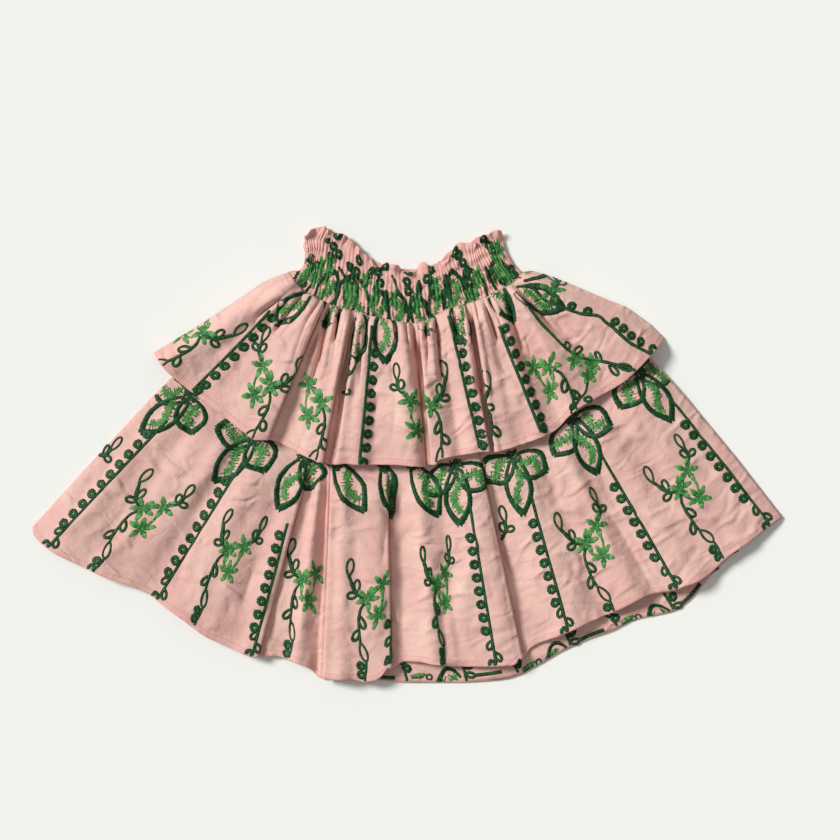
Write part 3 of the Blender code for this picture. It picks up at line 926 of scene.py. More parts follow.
class Motif:
    """A motif's own flat sheet, in mm to the right and down from where it is anchored.

    It is laid on a layer by the cloth's own measure, so it follows folds and vanishes
    into laps. squeeze narrows it where the cloth is drawn up, way -1 mirrors it.
    """

    def __init__(self, layer, x, y, turn=0.0, way=1, squeeze=(1.0, 1.0), longest=6.0, origin=(0, 0)):
        self.layer, self.spot, self.origin = layer, spot_on(layer, x, y), origin
        a = np.radians(turn)
        self.frame = np.array([[np.cos(a), -np.sin(a)], [np.sin(a), np.cos(a)]]) @ np.diag(
            [way * squeeze[0] * layer.face, squeeze[1]]
        )
        self.longest = longest
        r, c = self.spot
        j = min(int(c), layer.down.shape[1] - 2)
        self.down = layer.down[:, j] * (1 - c + j) + layer.down[:, j + 1] * (c - j)

    def rows_columns(self, flat):
        """Rows and columns of the layer under places of the sheet; nan where it has run out."""
        layer, (r0, c0) = self.layer, self.spot
        flat = ((np.asarray(flat, float) - self.origin) @ self.frame.T) * MM
        order = np.arange(len(self.down))
        r = np.interp(np.interp(r0, order, self.down) + flat[:, 1], self.down, order, np.nan, np.nan)
        c = np.full(len(flat), np.nan)
        places = np.arange(layer.across.shape[1])
        for k in np.flatnonzero(~np.isnan(r)):
            i = min(int(r[k]), layer.across.shape[0] - 2)
            row = layer.across[i] * (1 - r[k] + i) + layer.across[i + 1] * (r[k] - i)
            c[k] = np.interp(np.interp(c0, places, row) + flat[k, 0], row, places, np.nan, np.nan)
        return np.where(np.isnan(c), np.nan, r), c


class Skein:
    """The stitches of one colour of thread on one layer."""

    def __init__(self, seed):
        self.stitches = []
        self.chance = np.random.default_rng(seed)

    def sew(self, motif, starts, ends, wide=THREAD, tall=0.55, tones=(0.0, 1.0)):
        """Lays stitches between pairs of places on a motif's sheet."""
        starts, ends = np.asarray(starts, float), np.asarray(ends, float)
        if not len(starts):
            return
        size = np.linalg.norm((ends - starts) @ motif.frame.T, axis=1)
        parts = np.maximum(1, np.ceil(size / motif.longest - 0.05)).astype(int)
        which = np.repeat(np.arange(len(starts)), parts)
        part = np.concatenate([np.arange(n) for n in parts]) / parts[which]
        step = (ends - starts)[which]
        a = starts[which] + step * part[:, None]
        b = a + step / parts[which][:, None]
        ra, ca = motif.rows_columns(a)
        rb, cb = motif.rows_columns(b)
        good = ~np.isnan(ra + ca + rb + cb)
        ra, ca, rb, cb = ra[good], ca[good], rb[good], cb[good]
        layer = motif.layer
        pa, pb = at(layer.points, ra, ca), at(layer.points, rb, cb)
        middle = at(layer.points, (ra + rb) / 2, (ca + cb) / 2)
        up = at(layer.normals, (ra + rb) / 2, (ca + cb) / 2)
        up /= np.maximum(np.linalg.norm(up, axis=1, keepdims=True), 1e-9)
        chord = pb - pa
        bulge = np.maximum(((middle - (pa + pb) / 2) * up).sum(axis=1), 0)
        short = np.linalg.norm(chord, axis=1)
        # A stitch that a fold closes up or tears apart is left out
        keep = (short > 0.2 * MM) & (short < 2.2 * (motif.longest + 1) * MM)
        tone = np.repeat(self.chance.uniform(*tones, len(starts)), parts)[good]
        rise = (0.45 * tall * MM + np.minimum(bulge, 0.5 * MM))[:, None]
        rows = np.concatenate(
            [(pa + pb) / 2 + up * rise, chord, up, np.full((len(tone), 1), wide * MM),
             np.full((len(tone), 1), tall * MM), tone[:, None]],
            axis=1,
        )
        self.stitches.append(rows[keep])

    def line(self, motif, path, wide=3.0, stitch=1.9, tall=0.75):
        """A path of stitches end to end, like a fine cord."""
        places = evenly(path, stitch)
        step = np.diff(places, axis=0)
        self.sew(motif, places[:-1] - 0.12 * step, places[1:] + 0.12 * step, wide, tall)

    def satin(self, motif, path, wide, pitch=0.62, ragged=0.12, slant=0.25, tall=0.6):
        """Close stitches side by side across a path, with slightly ragged edges."""
        places = evenly(path, pitch)
        ahead = np.gradient(places, axis=0)
        ahead /= np.maximum(np.linalg.norm(ahead, axis=1, keepdims=True), 1e-9)
        over = np.stack([-ahead[:, 1], ahead[:, 0]], axis=1) + slant * ahead
        if np.ndim(wide):
            share = np.linspace(0, 1, len(places))
            wide = np.interp(share, np.linspace(0, 1, len(wide)), wide)
        reach = lambda: (wide / 2 * (1 + self.chance.uniform(-ragged, ragged, len(places))))[:, None]
        self.sew(motif, places - over * reach(), places + over * reach(), THREAD, tall)

    def dot(self, motif, x, y, size=4.2, hole=0.55, count=24):
        """A ring dot: stitches laid round a tiny eyelet."""
        turn = np.linspace(0, 2 * np.pi, count, endpoint=False) + self.chance.uniform(0, 6)
        way = np.stack([np.cos(turn), np.sin(turn)], axis=1)
        centre = np.array([x, y], float)
        lean = way + 0.25 * np.stack([-way[:, 1], way[:, 0]], axis=1)
        outer = size * (1 + self.chance.uniform(-0.07, 0.07, count))[:, None]
        self.sew(motif, centre + way * hole, centre + lean * outer, 1.15, 0.75)

    def loop(self, motif, base, tip, wide, thick=2.7):
        """An open teardrop from base to tip."""
        base, tip = np.array(base, float), np.array(tip, float)
        t = np.linspace(0, 1, 17)
        side = np.array([-(tip - base)[1], (tip - base)[0]]) / np.linalg.norm(tip - base)
        along = (1 - np.cos(2 * np.pi * t)) / 2
        out = np.sin(2 * np.pi * t) * np.sin(np.pi * along**0.8 * 0.5 + 0.35)
        path = base + (tip - base) * along[:, None] + side * (wide / 2 * out)[:, None]
        self.line(motif, path, thick, 1.9)

    def star(self, motif, x, y, turn=0.0, size=11.3, petals=5):
        """A small star of pointed petals, each a few long glossy stitches."""
        for k in range(petals):
            a = np.radians(turn + 360 / petals * k)
            ahead, side = np.array([np.sin(a), np.cos(a)]), np.array([np.cos(a), -np.sin(a)])
            centre = np.array([x, y], float)
            long = size * self.chance.uniform(0.9, 1.1)
            for offset in (-2.1, -1.3, -0.45, 0.45, 1.3, 2.1):
                near = centre + ahead * (0.3 * abs(offset)) + side * offset * 0.25
                belly = centre + ahead * long * 0.58 + side * offset
                far = centre + ahead * (long - 0.8 * abs(offset)) + side * offset * 0.45
                # Stitches towards the centre take the darker half of the thread's tones, those towards the
                # tip the lighter half
                self.sew(motif, [near], [belly], 1.4, 0.55, (0.0, 0.5))
                self.sew(motif, [belly - (belly - near) * 0.2], [far], 1.4, 0.65, (0.4, 1.0))


def evenly(path, pitch):
    """Places about pitch mm apart along a path of places."""
    path = np.asarray(path, float)
    size = np.concatenate([[0], np.cumsum(np.linalg.norm(np.diff(path, axis=0), axis=1))])
    wanted = np.linspace(0, size[-1], max(2, int(round(size[-1] / pitch)) + 1))
    return np.stack([np.interp(wanted, size, path[:, i]) for i in (0, 1)], axis=1)


def bent(path, count=9):
    """A smooth curve through a few given places."""
    return read_rows(path, np.linspace(0, len(path) - 1, count * len(path)))


# A petal's outline: share of its length, share of its half width
PETAL_OUTLINE = (
    (0, 0.1), (0.12, 0.48), (0.3, 0.84), (0.5, 1), (0.63, 0.99), (0.76, 0.8), (0.89, 0.42), (1, 0),
)


def petal(dark, bright, motif, base, turn, long, wide, thick=4.4, pitch=0.6):
    """A pointed petal: a satin outline, and a ragged bright filling that wanders in it."""
    a = np.radians(turn)
    ahead, side = np.array([np.sin(a), np.cos(a)]), np.array([np.cos(a), -np.sin(a)])
    base = np.array(base, float)
    t = np.linspace(0.06, 1, 30)
    half = wide / 2 * np.interp(t, *zip(*PETAL_OUTLINE))
    left = base + ahead * (long * t)[:, None] - side * half[:, None]
    right = base + ahead * (long * t)[:, None] + side * half[:, None]
    waist = thick * np.array([0.6, 0.75, 0.95, 1.0, 1.1, 1.35])
    dark.satin(motif, left, waist, pitch)
    dark.satin(motif, right, waist, pitch, slant=-0.25)
    sway = bright.chance.uniform(-0.5, 0.5)
    t = np.linspace(0.24, 0.8, 24)
    drift = wide * 0.17 * np.sin(2 * np.pi * (t * 1.5 + sway))
    core = base + ahead * (long * t)[:, None] + side * drift[:, None]
    places = evenly(core, 0.46)
    count = len(places)
    zigzag = np.radians(52) * np.where(np.arange(count) % 2, 1, -1)
    angle = a + zigzag + bright.chance.uniform(-0.35, 0.35, count)
    way = np.stack([np.sin(angle), np.cos(angle)], axis=1)
    reach = (wide * 0.19 * bright.chance.uniform(0.5, 1.35, count))[:, None]
    bright.sew(motif, places - way * reach, places + way * reach, 1.0, 0.5)


# The petals of a whole flower: turn in degrees, length, width
FLOWER = ((-6, 50, 21), (-64, 34, 24), (50, 33, 24), (-124, 36, 22), (108, 36, 23), (170, 40, 21))


def flower(dark, bright, motif, petals=FLOWER, pitch=0.62):
    """Pointed petals round a dark centre of short crossed stitches."""
    for turn, long, wide in petals:
        petal(dark, bright, motif, (0, 0), turn, long, wide, pitch=pitch)
    turn = dark.chance.uniform(0, 2 * np.pi, 90)
    far = dark.chance.uniform(1.5, 6.8, 90)
    way = np.stack([np.cos(turn), np.sin(turn)], axis=1)
    dark.sew(motif, way * (far - 1.5)[:, None], way * (far + 1.4)[:, None], 1.2, 0.8)


def stripe(dark, layer, top, hem, side, first, last=24.0, longest=6.0):
    """A line down the cloth with ring dots on one side, and teardrops towards the hem."""
    top, hem = np.array(top, float), np.array(hem, float)
    r0, c0 = spot_on(layer, *top)
    r1, c1 = spot_on(layer, *hem)
    motif = Motif(layer, *top, longest=longest)
    # The line is straight on the sheet: it reaches the hem's place from the top's place
    far = layer.down[int(r1), int(c0)] - layer.down[int(r0), int(c0)]
    slip = (layer.across[int(r1), int(c1)] - layer.across[int(r1), int(c0)]) * layer.face
    end = np.array([slip, far]) / MM
    ahead = end / np.linalg.norm(end)
    over = np.array([ahead[1], -ahead[0]])
    dark.line(motif, [(0, 0), end], 2.7, 1.7, 0.75)
    long = np.linalg.norm(end)
    for s in np.arange(first, long - last, DOT_PITCH):
        x, y = ahead * s + over * side * 4.6
        dark.dot(motif, x, y)
    for s, way in ((long - last + 2, side), (long - last + 12, -side)):
        base = ahead * s + over * way * 0.8
        dark.loop(motif, base, base + ahead * 7.5 + over * way * 3.8, 4.8, 2.8)
    dark.dot(motif, *(ahead * (long - 2.5) + over * side * 3.4), size=3.8)


def vine(dark, motif, long=70.0):
    """The vine under a sprig: teardrops in turn left and right, a lens, and two dots."""
    dark.line(motif, bent([(-2, 4), (-6, 12), (-7, 24), (-6.5, 33), (-5.5, 39)]), 2.7)
    dark.loop(motif, (-6.6, 16), (-2.2, 26), 5.2, 2.9)
    dark.loop(motif, (-7, 28), (-11.8, 37.5), 5.2, 2.9)
    dark.loop(motif, (-5.5, 38.5), (-0.5, 53.5), 6.4, 2.2)
    dark.dot(motif, -5.2, 58, 4.0, 0.3)
    dark.dot(motif, -5.0, 65.5, 3.8, 0.5)
    dark.line(motif, bent([(-0.5, 53), (-0.6, 60), (-1.5, 66), (-1.5, long)]), 2.6)


def sprig(dark, bright, layer, x, y, turn=0.0, way=1, parts="abc12v", origin=(0, 0), squeeze=(1.0, 1.0),
          down=70.0, longest=6.0):
    """Three stars a, b, c on stems, tendrils 1 and 2 that end in long loops, and a vine v.

    origin is the place on the sprig's own sheet that lies at x, y.
    """
    motif = Motif(layer, x, y, turn, way, squeeze, longest, origin)
    stars = {"a": (0, 0, 12), "b": (14, -9, 0), "c": (9.5, 16, -20)}
    for key, (sx, sy, lean) in stars.items():
        if key in parts:
            bright.star(motif, sx, sy, lean)
    stems = {
        "ab": [(3, -1), (8, -6), (13, -9)],
        "ac": [(-1, 4), (2, 12), (9, 16)],
        "bc": [(14, -8), (14, 4), (10, 15)],
    }
    for pair, path in stems.items():
        if pair[0] in parts and pair[1] in parts:
            bright.line(motif, bent(path), 2.4, tall=0.5)
    if "1" in parts:
        dark.line(motif, bent([(-3, 0), (-8, -2), (-12.5, -8), (-14.6, -15), (-16, -18)]))
        dark.line(motif, [(-11.5, -7), (-14, -14), (-16, -18)], 3.4)
        dark.loop(motif, (-16, -17.5), (-13.7, -32.6), 6.5, 2.2)
        dark.loop(motif, (-8.5, -2), (-17, -0.6), 5.6, 2.7)
        dark.loop(motif, (-9, -4), (-8, -14.8), 5.0, 2.4)
    if "2" in parts:
        dark.line(motif, bent([(16, -13), (20, -15.5), (23, -19), (23.4, -26)]), 3.4)
        dark.loop(motif, (23.4, -25), (23, -39.5), 5.8, 2.2)
        dark.loop(motif, (21, -17), (19, -26), 5.0, 2.5)
        dark.loop(motif, (22.5, -18), (30, -19), 5.2, 2.6)
    if "v" in parts:
        vine(dark, motif, down)


def stitch_tree():
    """Lays one low rounded stitch on each point of a mesh, by the point's own values."""
    tree = bpy.data.node_groups.new("stitches", "GeometryNodeTree")
    tree.interface.new_socket("Geometry", in_out="INPUT", socket_type="NodeSocketGeometry")
    tree.interface.new_socket("Geometry", in_out="OUTPUT", socket_type="NodeSocketGeometry")
    ridge = tree.interface.new_socket("Ridge", in_out="INPUT", socket_type="NodeSocketFloat")
    ridge.default_value = RIDGE
    tree.interface.new_socket("Thread", in_out="INPUT", socket_type="NodeSocketMaterial")
    given = add_node(tree, "NodeGroupInput")
    read = lambda name, kind: add_node(
        tree, "GeometryNodeInputNamedAttribute", {"data_type": kind, "Name": name}
    ).outputs["Attribute"]
    block = add_node(tree, "GeometryNodeMeshCube")
    where = add_node(tree, "GeometryNodeInputPosition").outputs["Position"]
    split = add_node(tree, "ShaderNodeSeparateXYZ", (), {0: where})
    above = add_node(tree, "FunctionNodeCompare", {"operation": "GREATER_THAN"}, {0: split.outputs["Z"]})
    drawn_in = add_node(tree, "ShaderNodeCombineXYZ", {1: 0.0, 2: 1.0}, {0: given.outputs["Ridge"]})
    narrow = add_node(
        tree, "ShaderNodeVectorMath", {"operation": "MULTIPLY"}, {0: where, 1: drawn_in.outputs[0]}
    )
    loaf = add_node(
        tree,
        "GeometryNodeSetPosition",
        (),
        {"Geometry": block.outputs["Mesh"], "Selection": above.outputs[0], "Position": narrow.outputs[0]},
    )
    loaf = add_node(tree, "GeometryNodeMergeByDistance", {"Distance": 0.01}, {"Geometry": loaf.outputs[0]})
    along, up = read("along", "FLOAT_VECTOR"), read("up", "FLOAT_VECTOR")
    first = add_node(tree, "FunctionNodeAlignRotationToVector", {"axis": "X"}, {"Vector": along})
    second = add_node(
        tree,
        "FunctionNodeAlignRotationToVector",
        {"axis": "Z", "pivot_axis": "X"},
        {"Rotation": first.outputs[0], "Vector": up},
    )
    size = add_node(tree, "ShaderNodeVectorMath", {"operation": "LENGTH"}, {0: along})
    scale = add_node(
        tree,
        "ShaderNodeCombineXYZ",
        (),
        {0: size.outputs["Value"], 1: read("wide", "FLOAT"), 2: read("tall", "FLOAT")},
    )
    laid = add_node(
        tree,
        "GeometryNodeInstanceOnPoints",
        (),
        {
            "Points": given.outputs["Geometry"],
            "Instance": loaf.outputs[0],
            "Rotation": second.outputs[0],
            "Scale": scale.outputs[0],
        },
    )
    real = add_node(tree, "GeometryNodeRealizeInstances", (), {0: laid.outputs[0]})
    rounded = add_node(tree, "GeometryNodeSetShadeSmooth", {"Shade Smooth": True}, {0: real.outputs[0]})
    thread = add_node(
        tree,
        "GeometryNodeSetMaterial",
        (),
        {"Geometry": rounded.outputs[0], "Material": given.outputs["Thread"]},
    )
    add_node(tree, "NodeGroupOutput", (), {"Geometry": thread.outputs[0]})
    return tree


STITCHES = stitch_tree()


def worked(name, skein, thread):
    """Turns a skein's stitches into one plain mesh, and rides it on the skirt."""
    rows = np.concatenate(skein.stitches)
    mesh = bpy.data.meshes.new(name + "_points")
    mesh.from_pydata(rows[:, :3].tolist(), [], [])
    for key, kind, values in (
        ("along", "FLOAT_VECTOR", rows[:, 3:6]),
        ("up", "FLOAT_VECTOR", rows[:, 6:9]),
        ("wide", "FLOAT", rows[:, 9]),
        ("tall", "FLOAT", rows[:, 10]),
        ("tone", "FLOAT", rows[:, 11]),
    ):
        slot = "vector" if kind == "FLOAT_VECTOR" else "value"
        mesh.attributes.new(key, kind, "POINT").data.foreach_set(slot, np.ascontiguousarray(values).ravel())
    points = bpy.data.objects.new(name + "_points", mesh)
    bpy.context.scene.collection.objects.link(points)
    lay = points.modifiers.new("stitches", "NODES")
    lay.node_group = STITCHES
    inputs = {"Ridge": RIDGE, "Thread": thread}
    for item in STITCHES.interface.items_tree:
        if item.in_out == "INPUT" and item.name in inputs:
            lay[item.identifier] = inputs[item.name]
    ready = points.evaluated_get(bpy.context.evaluated_depsgraph_get())
    piece = bpy.data.objects.new(name, bpy.data.meshes.new_from_object(ready))
    piece.data.name = name
    bpy.data.objects.remove(points)
    bpy.context.scene.collection.objects.link(piece)
    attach(piece, "root")
    return piece


def embroidery_thread(name, light, deep, gloss):
    """Rayon-like embroidery thread: loosely twisted and glossy, each stitch its own shade
    as its threads catch the light differently."""
    material = bpy.data.materials.new(name)
    material.use_nodes = True
    tree = material.node_tree
    shader = tree.nodes["Principled BSDF"]
    shader.inputs["Roughness"].default_value = gloss
    shader.inputs["Specular IOR Level"].default_value = 0.35
    tone = add_node(tree, "ShaderNodeAttribute", {"attribute_name": "tone"})
    shade = add_node(tree, "ShaderNodeValToRGB", (), {"Fac": tone.outputs["Fac"]})
    shade.color_ramp.elements[0].color = linear(deep)
    shade.color_ramp.elements[1].color = linear(light)
    tree.links.new(shade.outputs["Color"], shader.inputs["Base Color"])
    place = add_node(tree, "ShaderNodeTexCoord").outputs["Object"]
    # Twist: real plies are 0.1 mm; drawn 0.5 mm apart so that they show
    twist = add_node(tree, "ShaderNodeTexNoise", {"Scale": 1900.0, "Detail": 1.0}, {"Vector": place})
    relief = add_node(
        tree, "ShaderNodeBump", {"Strength": 0.35, "Distance": 0.0002}, {"Height": twist.outputs["Fac"]}
    )
    tree.links.new(relief.outputs["Normal"], shader.inputs["Normal"])
    return material


dark_thread = embroidery_thread("dark_green_embroidery_thread", "#195F30", "#063210", 0.45)
bright_thread = embroidery_thread("bright_green_embroidery_thread", "#68AC5B", "#14642A", 0.5)

# The long tier's front: line from where it leaves its flower to the hem, first dot
LOWER_STRIPES_MM = (
    (-203, 29, -305.5, -78.1, 20),
    (-139, -6, -214.5, -123.2, 22),
    (-101, -58, -131.2, -169.9, 12),
    (-12.6, -14, -13.9, -175.0, 128),
    (52.5, -40, 76.0, -177.6, 30),
    (105, -34, 141.6, -159.4, 22),
    (161, 2, 233.4, -129.1, 32),
    (220, 52, 308.2, -58.6, 30),
)
# Flowers: centre, turn, and which of the petals show
LOWER_FLOWERS_MM = (
    (-184.6, 49, 6, (0, 1, 2)),
    (-130, 13.5, 8, (0, 1, 2)),
    (-88, -3.3, 4, (0, 2)),
    (-61, -7.6, -40, (0,)),
    (-20, -8.4, -25, (0,)),
    (4, -6, -30, (0,)),
    (41.3, -9.3, 0, (0, 1, 2)),
    (89.8, -0.5, 0, (0, 1, 2)),
    (141.6, 30.5, 0, (0, 1, 2)),
    (195.2, 69.5, 0, (0, 1, 2)),
)
# Sprigs: place, turn, parts, what lies at that place, and how far the cloth narrows them
LOWER_SPRIGS_MM = (
    (-223.9, -44.1, 0, "abc12v", (0, 0), 1.0),
    (-151.6, -80.7, 0, "abc12v", (0, 0), 0.8),
    (-91.3, -104.5, 0, "abc1v", (0, 0), 1.0),
    (-33.5, -121.5, 0, "abc1v", (0, 0), 1.0),
    (26.0, -109.6, 0, "abc12v", (0, 0), 0.62),
    (83, -58, 0, "2", (23, -24), 1.0),
    (151.0, -73.0, 0, "abc12v", (0, 0), 1.0),
    (229.2, -28.0, 0, "abc12v", (0, 0), 1.0),
    (-249, 9, 0, "2", (23, -30), 1.0),
)
dark, bright = Skein(71), Skein(72)
for x0, y0, x1, y1, first in LOWER_STRIPES_MM:
    stripe(dark, long_front, (x0, y0), (x1, y1), -1, first)
for x, y, turn, which in LOWER_FLOWERS_MM:
    flower(dark, bright, Motif(long_front, x, y, turn), [FLOWER[k] for k in which])
for x, y, turn, parts, origin, narrow in LOWER_SPRIGS_MM:
    sprig(dark, bright, long_front, x, y, turn, 1, parts, origin, (narrow, 1.0))
worked("long_front_dark_stitches", dark, dark_thread)
worked("long_front_bright_stitches", bright, bright_thread)

# The short tier's front carries the same print the other way round
UPPER_STRIPES_MM = (
    (-116, 124, -181.4, 55.3, 4),
    (-29.2, 111.4, -37.7, -9.4, 22),
    (34.5, 120, 60.9, 6.4, 22),
    (78.5, 110, 112.7, 19.1, 4),
)
# Petals: place, turn, length, width, and how much of the length the seam hides
UPPER_PETALS_MM = (
    (-19.5, 114, 0, 46, 19, 14),
    (45.5, 120, 2, 42, 19, 18),
    (77.5, 133, 12, 42, 16, 20),
    (-84, 138, -17, 40, 17, 3),
    (-40.5, 117, -1, 44, 17, 8),
    (92, 141, 38, 48, 20, 3),
    (95, 146, 74, 38, 18, 3),
    (9.0, 113, 15, 30, 12, 18),
    (-60, 124, -10, 40, 16, 24),
)
# Sprigs: place, turn, parts, what lies at that place, and the vine's length
UPPER_SPRIGS_MM = (
    (-173.7, 106.3, 0, "abc12v", (0, 0), 52),
    (-116, 58.7, 0, "abc12v", (0, 0), 60),
    (-72.6, 45.1, 0, "abcv", (0, 0), 70),
    (-50.5, 77, 0, "1", (-15, -25), 70),
    (1.8, 45.1, 0, "bc2", (14, -9), 70),
    (19.4, 42.6, 0, "a1v", (0, 0), 60),
    (69.5, 61, 0, "1", (-15, -22), 60),
    (71, 26, 0, "v", (-7, 26), 60),
    (117.6, 74.5, 0, "abcv", (0, 0), 44),
    (121.2, 138.9, 20, "a1", (0, 0), 60),
)
# At the right side the print runs askew, so its vine, line and tendril have their own
# places, and the teardrops on them go from base to tip
VINE_MM = (
    (104, 126), (112.7, 114.8), (122.9, 102.9), (134.8, 91.0),
    (146.7, 83.4), (163.7, 79.1), (177.3, 75.7), (191.8, 70.6),
)
VINE_LEAVES_MM = (
    (136, 90, 137, 98), (141, 86, 147, 92), (162, 79, 158, 86), (170, 77, 178, 68), (178, 75.5, 190, 72.5),
)
TENDRIL_MM = ((154.4, 62), (151.0, 53.6), (147.6, 48.5), (143.3, 44.3))
TENDRIL_LEAVES_MM = ((149, 49, 156, 47), (147, 48, 142, 52), (143, 45, 137, 38))
SIDE_STARS_MM = ((154.4, 67.2), (156.9, 76.5), (142.5, 81.0))
SIDE_STRIPE_MM = (
    (104, 140), (117, 130), (129.7, 124.2), (145.0, 119.9),
    (162.0, 116.5), (168.8, 112.3), (185.8, 97.8), (205.4, 85.9),
)
SIDE_DOTS_MM = (
    (174.8, 114.0), (182.8, 108.9), (190.1, 101.6), (198.1, 96.5),
    (206.2, 89.9), (152, 121), (139, 124.5), (124, 131),
)


def in_plan(layer, places, x, y):
    """Places of the plan as places on the flat sheet of a motif anchored at x, y."""
    motif = Motif(layer, x, y)
    r0, c0 = motif.spot
    flat = []
    for px, py in places:
        r, c = spot_on(layer, px, py)
        over = (layer.across[int(r), int(c)] - layer.across[int(r), int(c0)]) * layer.face
        flat.append((over / MM, (layer.down[int(r), int(c0)] - layer.down[int(r0), int(c0)]) / MM))
    return motif, flat


dark, bright = Skein(81), Skein(82)
for x0, y0, x1, y1, first in UPPER_STRIPES_MM:
    stripe(dark, short_front, (x0, y0), (x1, y1), 1, first, 8.0)
for x, y, turn, long, wide, hidden in UPPER_PETALS_MM:
    petal(dark, bright, Motif(short_front, x, y, origin=(0, hidden)), (0, 0), turn, long, wide)
for x, y, turn, parts, origin, down in UPPER_SPRIGS_MM:
    sprig(dark, bright, short_front, x, y, turn, -1, parts, origin, down=down)
motif, path = in_plan(short_front, VINE_MM, 146.7, 83.4)
dark.line(motif, bent(path))
for x, y, tip_x, tip_y in VINE_LEAVES_MM:
    motif, (base, tip) = in_plan(short_front, ((x, y), (tip_x, tip_y)), 146.7, 83.4)
    dark.loop(motif, base, tip, 4.6)
motif, path = in_plan(short_front, TENDRIL_MM, 151, 60)
dark.line(motif, bent(path), 2.3)
for x, y in SIDE_STARS_MM:
    bright.star(Motif(short_front, x, y), 0, 0, 15, 9.5)
for x, y, tip_x, tip_y in TENDRIL_LEAVES_MM:
    motif, (base, tip) = in_plan(short_front, ((x, y), (tip_x, tip_y)), 151, 60)
    dark.loop(motif, base, tip, 4.2)
motif, path = in_plan(short_front, SIDE_STRIPE_MM, 162, 116.5)
dark.line(motif, bent(path))
for x, y in SIDE_DOTS_MM:
    dark.dot(Motif(short_front, x, y), 0, 0, 3.9)
worked("short_front_dark_stitches", dark, dark_thread)
worked("short_front_bright_stitches", bright, bright_thread)

# The band was cut from the same cloth, so its print is drawn up to half its width, and
# each stitch breaks over the pleats
BAND_DOTS_MM = (
    (-62.7, 176.9), (-64.5, 168.4), (-60.7, 184.8), (-43.0, 155.6), (-46.1, 147.1), (-40.7, 165.0),
    (-24.8, 154.8), (-23.3, 146.3), (-17.3, 160.1), (0.3, 155.5), (-0.3, 147.1), (1.0, 139.6),
    (18.8, 156.5), (32.8, 147.1), (32.0, 137.3), (37.9, 172.3), (43.5, 169.7), (46.4, 163.1),
    (49.6, 154.8), (63.1, 183.0), (69.4, 178.2), (73.6, 172.6), (82.1, 148.0), (-89.3, 145.6),
    (53.2, 147.1), (16.7, 149.7), (-49.6, 159.0), (-27.5, 140.3), (-57, 171), (88, 158),
)
# Petals: foot, turn, length, width
BAND_PETALS_MM = (
    (-56.4, 127, 172, 32, 20), (-38, 121, 196, 34, 24), (-7.1, 113, 178, 28, 19), (12.0, 113, 186, 26, 17),
    (41, 122, 172, 32, 22), (62.6, 133, 188, 32, 20), (-74, 133, 168, 30, 20), (-23, 117, 178, 24, 15),
    (27, 119, 186, 26, 15), (82, 142, 170, 30, 20), (-90, 142, 190, 30, 18),
)
BAND_STARS_MM = (
    (-73.4, 160.5), (-68.3, 150.8), (-29.3, 129.7), (-25.8, 138.8), (23.8, 144.9), (26.0, 133.8),
    (73.9, 168.6), (79.3, 159.0), (86.5, 150.5), (-63.8, 163.7), (-79, 150), (52, 135), (-35, 148),
    (8, 130), (-11, 132), (60, 152), (-48, 138), (-84, 154), (78, 176), (36, 130),
)
# Bars of close stitches, from end to end
BAND_BARS_MM = (
    (-85.3, 164.1, -79.4, 169.2), (-81.1, 155.6, -76.0, 164.1), (-51.3, 164.1, -47.1, 159.0),
    (-13.1, 152.2, -8.0, 138.6), (3.9, 135.2, 3.9, 121.6), (19.2, 153.1, 20.9, 131.8),
    (33.7, 153.1, 35.4, 131.8), (53.2, 144.6, 58.3, 127.6), (91.5, 150.0, 94, 156),
    (-35.2, 144.6, -33.5, 131.8), (-66, 184, -69, 180), (-58, 160, -52, 148), (66, 160, 70, 146),
    (-18, 140, -17, 122), (-30, 160, -33, 150), (10, 148, 9, 136), (45, 150, 48, 140), (72, 158, 74, 146),
    (-62, 146, -58, 136), (-45, 134, -44, 126), (16, 128, 17, 118), (-2, 132, -3, 120), (50, 160, 52, 150),
)
dark, bright = Skein(91), Skein(92)
for x, y, turn, long, wide in BAND_PETALS_MM:
    motif = Motif(front_band, x, y, 0, 1, (0.85, 0.95), 1.5, (0, -14))
    petal(dark, bright, motif, (0, 0), turn, long + 13, wide + 1, 3.4, 0.75)
for x, y in BAND_STARS_MM:
    motif = Motif(front_band, x, y, 0, 1, (0.55, 1.1), 1.5)
    bright.star(motif, 0, 0, bright.chance.uniform(-30, 30), 9)
    bright.line(motif, [(0, 0), (3, 8)], 2.2)
for x, y in BAND_DOTS_MM:
    dark.dot(Motif(front_band, x, y, 0, 1, (0.9, 1.0), 1.6), 0, 0, 4.2, 0.9)
for x0, y0, x1, y1 in BAND_BARS_MM:
    motif, path = in_plan(front_band, ((x0, y0), (x1, y1)), x0, y0)
    motif.longest = 1.5
    dark.line(motif, path, 2.6, 1.4)
    if dark.chance.uniform() < 0.5:
        dark.loop(motif, path[0], path[1], 4.6, 1.9)
worked("waist_front_dark_stitches", dark, dark_thread)
worked("waist_front_bright_stitches", bright, bright_thread)

# The wrong side of the long tier's back: the ends of its motifs show along its hem, in
# the print's repeat of 89 mm. Each row is the hem's place under one line of ring dots.
INSIDE_REPEATS_MM = ((-38, -189), (51, -191), (140, -163), (228.5, -131))
INSIDE_BARS_MM = ((256.4, -99.5, 264, -94.5), (271, -86, 281, -79))


